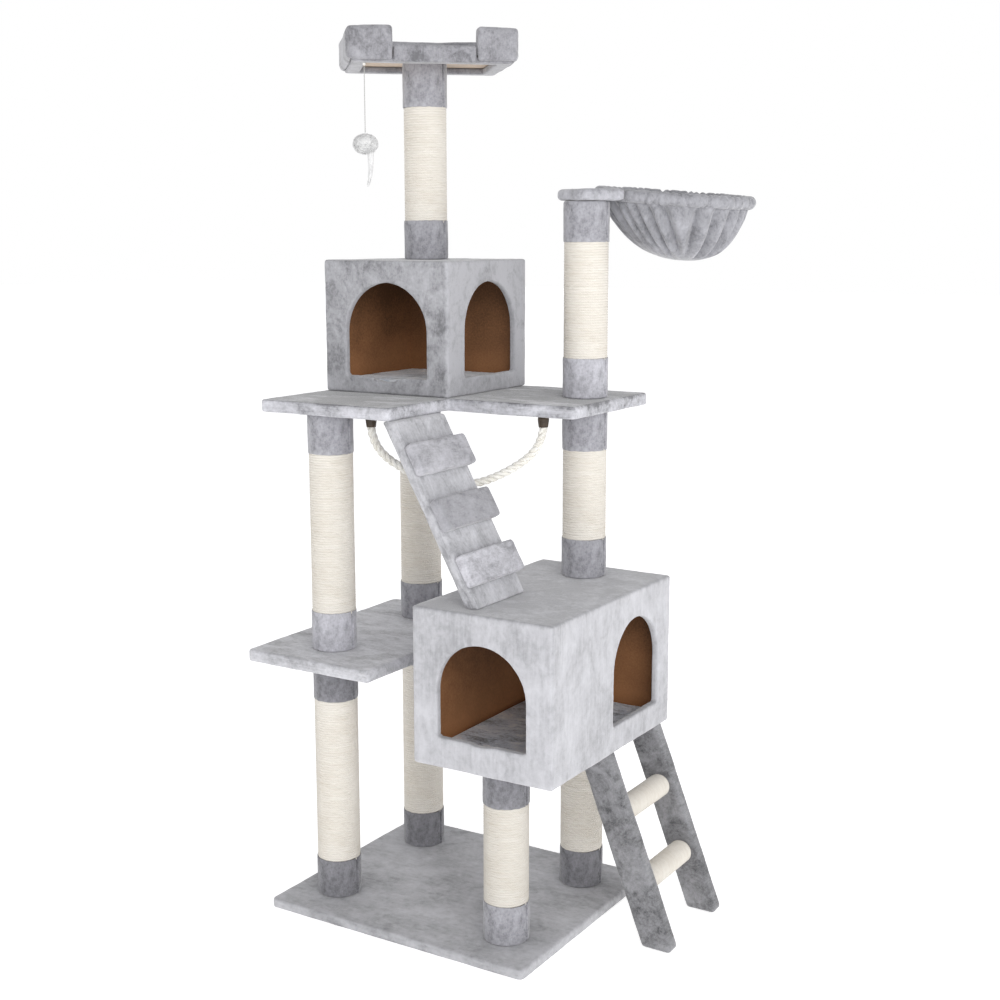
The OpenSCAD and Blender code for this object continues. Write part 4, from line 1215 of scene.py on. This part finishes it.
def make_perch():
    place = perch_place()
    height = (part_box("perch_bolster")[1].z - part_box("perch_frame")[0].z)
    w, d = PERCH_W / 2, PERCH_D / 2
    iw, id_ = w - BOLSTER_T, d - BOLSTER_T
    slim = 1.6 * MM       # the bolster starts this much smaller, and swells back
    x0, x1 = LEFT_STUB - w, w - RIGHT_STUB
    corners = [(-w, -d), (x0, -d), (x0, -id_), (-iw, -id_), (-iw, id_), (iw, id_),
               (iw, -id_), (x1, -id_), (x1, -d), (w, -d), (w, d), (-w, d)]
    radii = np.array([9, 8, 8, 4, 6, 6, 4, 8, 8, 9, 10, 10]) * MM
    outline = rounded_outline(corners, radii)
    inner = rectangle(SKIRT - w, SKIRT - d, w - SKIRT, d - SKIRT, 4 * MM)

    def bolster(p):
        whole = prism_distance(p, outline, 0.4 * MM, height, 8 * MM)
        ring = prism_distance(p, inner, -30 * MM, PERCH_RING_T + 0.4 * MM, 1 * MM)
        return smooth_max(whole, -ring, 3 * MM) + slim

    verts, faces = remeshed([prism_mesh(outline, 0.4 * MM, height)], 4 * MM,
                            [prism_mesh(inner, -30 * MM, PERCH_RING_T)])
    verts, normals = settle(verts, bolster)
    verts = inflated(verts, faces, cap=3 * MM)
    verts = verts + normals * rumple(verts, 0.6 * MM, 200)[:, None]
    verts[:, 2] = np.maximum(verts[:, 2], 0.1 * MM)
    walls = piece("perch_bolster_plush", verts, faces, MATERIAL["perch"], ["perch_bolster"],
                  place=place)

    # The ring under the board, inside the bolster's skirt, with the low wall in front
    gap = 0.5 * MM
    ring_w, ring_d = w - SKIRT - gap, d - SKIRT - gap
    ring_in = 38 * MM
    ring_out_line = rectangle(-ring_w, -ring_d, ring_w, ring_d, 4 * MM)
    hole_line = rectangle(ring_in - w, ring_in - d, w - ring_in, d - ring_in, 4 * MM)
    wall_line = rectangle(x0 + gap, 1.5 * MM - d, x1 - gap, -id_ - gap, 3 * MM)

    def ring(p):
        body = prism_distance(p, ring_out_line, 0.3 * MM, PERCH_RING_T - gap, 3 * MM)
        hole = prism_distance(p, hole_line, -30 * MM, 60 * MM, 1 * MM)
        wall = prism_distance(p, wall_line, 0.3 * MM, PERCH_FRONT_H, 5 * MM)
        return smooth_min(smooth_max(body, -hole, 3 * MM), wall, 3 * MM)

    verts, faces = remeshed([prism_mesh(ring_out_line, 0.3 * MM, PERCH_RING_T - gap),
                             prism_mesh(wall_line, 0.3 * MM, PERCH_FRONT_H)], 3.2 * MM,
                            [prism_mesh(hole_line, -30 * MM, 60 * MM)])
    verts, normals = settle(verts, ring, reach=3 * MM)
    verts = verts + normals * rumple(verts, 0.4 * MM, 210)[:, None]
    piece("perch_frame_plush", verts, faces, MATERIAL["perch"], ["perch_frame"],
          place=place)
    mat_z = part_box("perch_mat")[0].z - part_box("perch_frame")[0].z
    make_mat("perch_mat_plush", "perch_mat", place @ Matrix.Translation((0, 0, mat_z)),
             (2 * iw - 1 * MM, 2 * id_ - 1 * MM), MATERIAL["perch"], 220)


# ---------- hammock ----------

HAMMOCK_TURN = math.radians(61)
HOOP_DROOP = math.radians(2)
HOOP_ROLL = math.radians(4.5)
HOOP_X = 198 * MM
HOOP_R = 143 * MM
RIM_R = 12 * MM
BAG_RIM_R = 140 * MM
BAG_DEPTH = 115 * MM
BAG_LOW_AT = (4 * MM, -34 * MM)
BAG_CURVE = 2.6
BAG_T = 4 * MM
BOARD_W = 104 * MM
BOARD_BACK = 44 * MM
BOARD_CORNER_R = 26 * MM
HOOP_HEIGHT = 13 * MM     # of the hoop's near side above the board's underside
GATHERS = 64


def hammock_place():
    """The hammock's own frame: on the back right post, x outwards, z 0 at the board's underside."""
    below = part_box("hammock_board")[0].z
    low, high = solids("back_right_post_sisal")[-1]
    return (Matrix.Translation(((low[0] + high[0]) / 2, (low[1] + high[1]) / 2, below))
            @ Matrix.Rotation(HAMMOCK_TURN, 4, "Z"))


def hoop_place():
    """The hoop's own frame, drooping towards its far side."""
    z = HOOP_HEIGHT - HOOP_R * math.sin(HOOP_DROOP)
    return (hammock_place() @ Matrix.Translation((HOOP_X, 0, z))
            @ Matrix.Rotation(HOOP_DROOP, 4, "Y") @ Matrix.Rotation(HOOP_ROLL, 4, "X"))


def turned(verts, place):
    """The points turned as place turns them, and the place without its turn."""
    return verts @ np.array(place.to_3x3()).T, Matrix.Translation(place.translation)


def make_hammock_board():
    low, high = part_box("hammock_board")
    hollow_r = HOOP_R + RIM_R + 1 * MM
    half = BOARD_W / 2
    reach = math.asin(half / hollow_r)
    arc = [(HOOP_X - hollow_r * math.cos(t), hollow_r * math.sin(t))
           for t in np.linspace(-reach, reach, 21)]
    back = rounded_outline([arc[-1], (-BOARD_BACK, half), (-BOARD_BACK, -half), arc[0]],
                           [1 * MM, BOARD_CORNER_R, BOARD_CORNER_R, 1 * MM])
    back = back[7:-7]
    outline = np.array([*arc, *back])
    board = cloth_prism("hammock_board_plush", outline, 0.2 * MM, high.z - low.z, MATERIAL["bracket"],
                        ["hammock_board"], edge_r=9 * MM, voxel=3.5 * MM,
                        place=hammock_place(), shell=0, amount=0.8 * MM, seed=240)


def make_rim():
    """The sleeve over the wire: puffed cloth drawn together in many small gathers."""
    columns, sides = 420, 22
    a = np.arange(columns) / columns * TURN
    b = np.arange(sides) / sides * TURN
    rng = np.random.default_rng(250)
    gathers = np.zeros((columns, sides))
    for k in range(GATHERS):
        at = (k + rng.uniform(-0.35, 0.35)) / GATHERS * TURN
        off = (a - at + math.pi) % TURN - math.pi
        width = rng.uniform(0.012, 0.034)
        depth = rng.uniform(1.4, 5.2) * MM
        lean = rng.uniform(-0.03, 0.03)
        off = off[:, None] + lean * np.sin(b)[None]
        gathers -= depth * np.exp(-(off / width) ** 2) * (0.55 + 0.45 * np.cos(b - rng.uniform(-1.2, 1.2)))
    r = RIM_R - 0.3 * MM + gathers + 0.7 * MM
    ring_r = HOOP_R + r * np.cos(b)[None]
    rings = np.stack([ring_r * np.cos(a)[:, None], ring_r * np.sin(a)[:, None],
                      r * np.sin(b)[None]], axis=-1)
    flat = rings.reshape(-1, 3)
    out = unit(flat - np.repeat(np.stack([HOOP_R * np.cos(a), HOOP_R * np.sin(a), 0 * a], axis=1),
                                sides, axis=0))
    rings = (flat + out * rumple(flat, 0.5 * MM, 251, size=0.02)[:, None]).reshape(rings.shape)
    verts, faces = loft(rings, ends="meet")
    faces = [f[::-1] for f in faces]
    verts, place = turned(verts, hoop_place())
    rim = piece("hammock_rim_sleeve", verts, faces, MATERIAL["bag"], ["hammock_rim"],
                place=place)


# Folds of the bag's front, from the left: angle on the hoop, how far it drifts on its way down,
# how far down it reaches as a share of the radius, depth and width
FOLDS = [
    (-168, 4, 0.35, 7, 6), (-157, 6, 0.30, 8, 6), (-146, 7, 0.25, 10, 7), (-134, 16, 0.34, 13, 8),
    (-121, 3, 0.78, 8, 7), (-107, -17, 0.34, 13, 8), (-91, -6, 0.25, 11, 7), (-75, -5, 0.22, 12, 7),
    (-62, -4, 0.28, 9, 6), (-48, -5, 0.30, 8, 6),
]


def bag_folds():
    """The front's folds as they are, and smaller ones of chance over the back."""
    rng = np.random.default_rng(260)
    back = [(a + rng.uniform(-4, 4), rng.uniform(-6, 6), rng.uniform(0.25, 0.5),
             rng.uniform(4, 8), rng.uniform(5, 8)) for a in np.arange(-34, 184, 12)]
    return FOLDS + back


def make_bag():
    """One round of plush gathered onto the hoop: folds that run in towards the bottom."""
    columns, rows = 480, 72
    a = np.arange(columns) / columns * TURN
    f = np.sin(np.linspace(0.03, 1, rows) * math.pi / 2)
    f = f / f[-1]
    grid_a, grid_f = np.meshgrid(a, f)
    dent = np.zeros_like(grid_a)
    for at, drift, end, depth, width in bag_folds():
        line = math.radians(at) + math.radians(drift) * (1 - grid_f)
        off = (grid_a - line + math.pi) % TURN - math.pi
        across = np.abs(off) * BAG_RIM_R * np.maximum(grid_f, 0.15)
        wide = width * MM * (0.35 + 0.65 * grid_f)
        fade = ramp01(grid_f, end, end + 0.4) * (1 - 0.5 * ramp01(grid_f, 0.93, 1.0))
        valley = np.exp(-(across / wide) ** 1.3)
        swell = 0.35 * np.exp(-((across - 2.1 * wide) / (1.3 * wide)) ** 2)
        dent += depth * MM * fade * (valley - swell)
    share = 1 - grid_f ** BAG_CURVE
    r = BAG_RIM_R * grid_f
    z = -RIM_R - (BAG_DEPTH - RIM_R) * share
    slope = BAG_CURVE * (BAG_DEPTH - RIM_R) * grid_f ** (BAG_CURVE - 1)
    inwards = unit(np.stack([-slope, np.full_like(grid_f, BAG_RIM_R)], axis=-1))
    billow = -1.2 * MM * ramp01(grid_f, 0.15, 0.6) + dent
    r, z = r + inwards[..., 0] * billow, z + inwards[..., 1] * billow
    rings = np.stack([r * np.cos(grid_a) + BAG_LOW_AT[0] * share,
                      r * np.sin(grid_a) + BAG_LOW_AT[1] * share, z], axis=-1)
    # The edge goes up into the sleeve, which closes the folds' tops
    edge = [np.stack([edge_r * np.cos(a), edge_r * np.sin(a), np.full(columns, edge_z)], axis=1)
            for edge_r, edge_z in ((BAG_RIM_R + 1 * MM, -8 * MM), (HOOP_R - 0.5 * MM, -2 * MM))]
    rings = np.concatenate([rings, edge])
    verts, faces = loft(rings, ends="open")
    verts = np.concatenate([verts, [[*BAG_LOW_AT, -BAG_DEPTH]]])
    faces += [((k + 1) % columns, k, len(verts) - 1) for k in range(columns)]
    verts = verts + rumple(verts, 0.5 * MM, 261, size=0.03)[:, None] * [0.3, 0.3, 0.7]
    verts, place = turned(verts, hoop_place())
    bag = piece("hammock_bag_plush", verts, faces, MATERIAL["bag"], ["hammock_bag"],
                place=place, shell=BAG_T)


# ---------- the whole scene ----------

bpy.context.scene.view_settings.view_transform = "Standard"
bpy.context.scene.view_settings.look = "None"
MATERIAL = make_materials()
make_camera()
make_rope()
make_toy_string()
dress_frame()
make_toy()
make_base()
make_shelf()
make_platform()
make_posts()
make_houses()
make_ramp()
make_ladder()
make_perch()
make_hammock_board()
make_rim()
make_bag()
make_sky()
make_light()
make_floor()
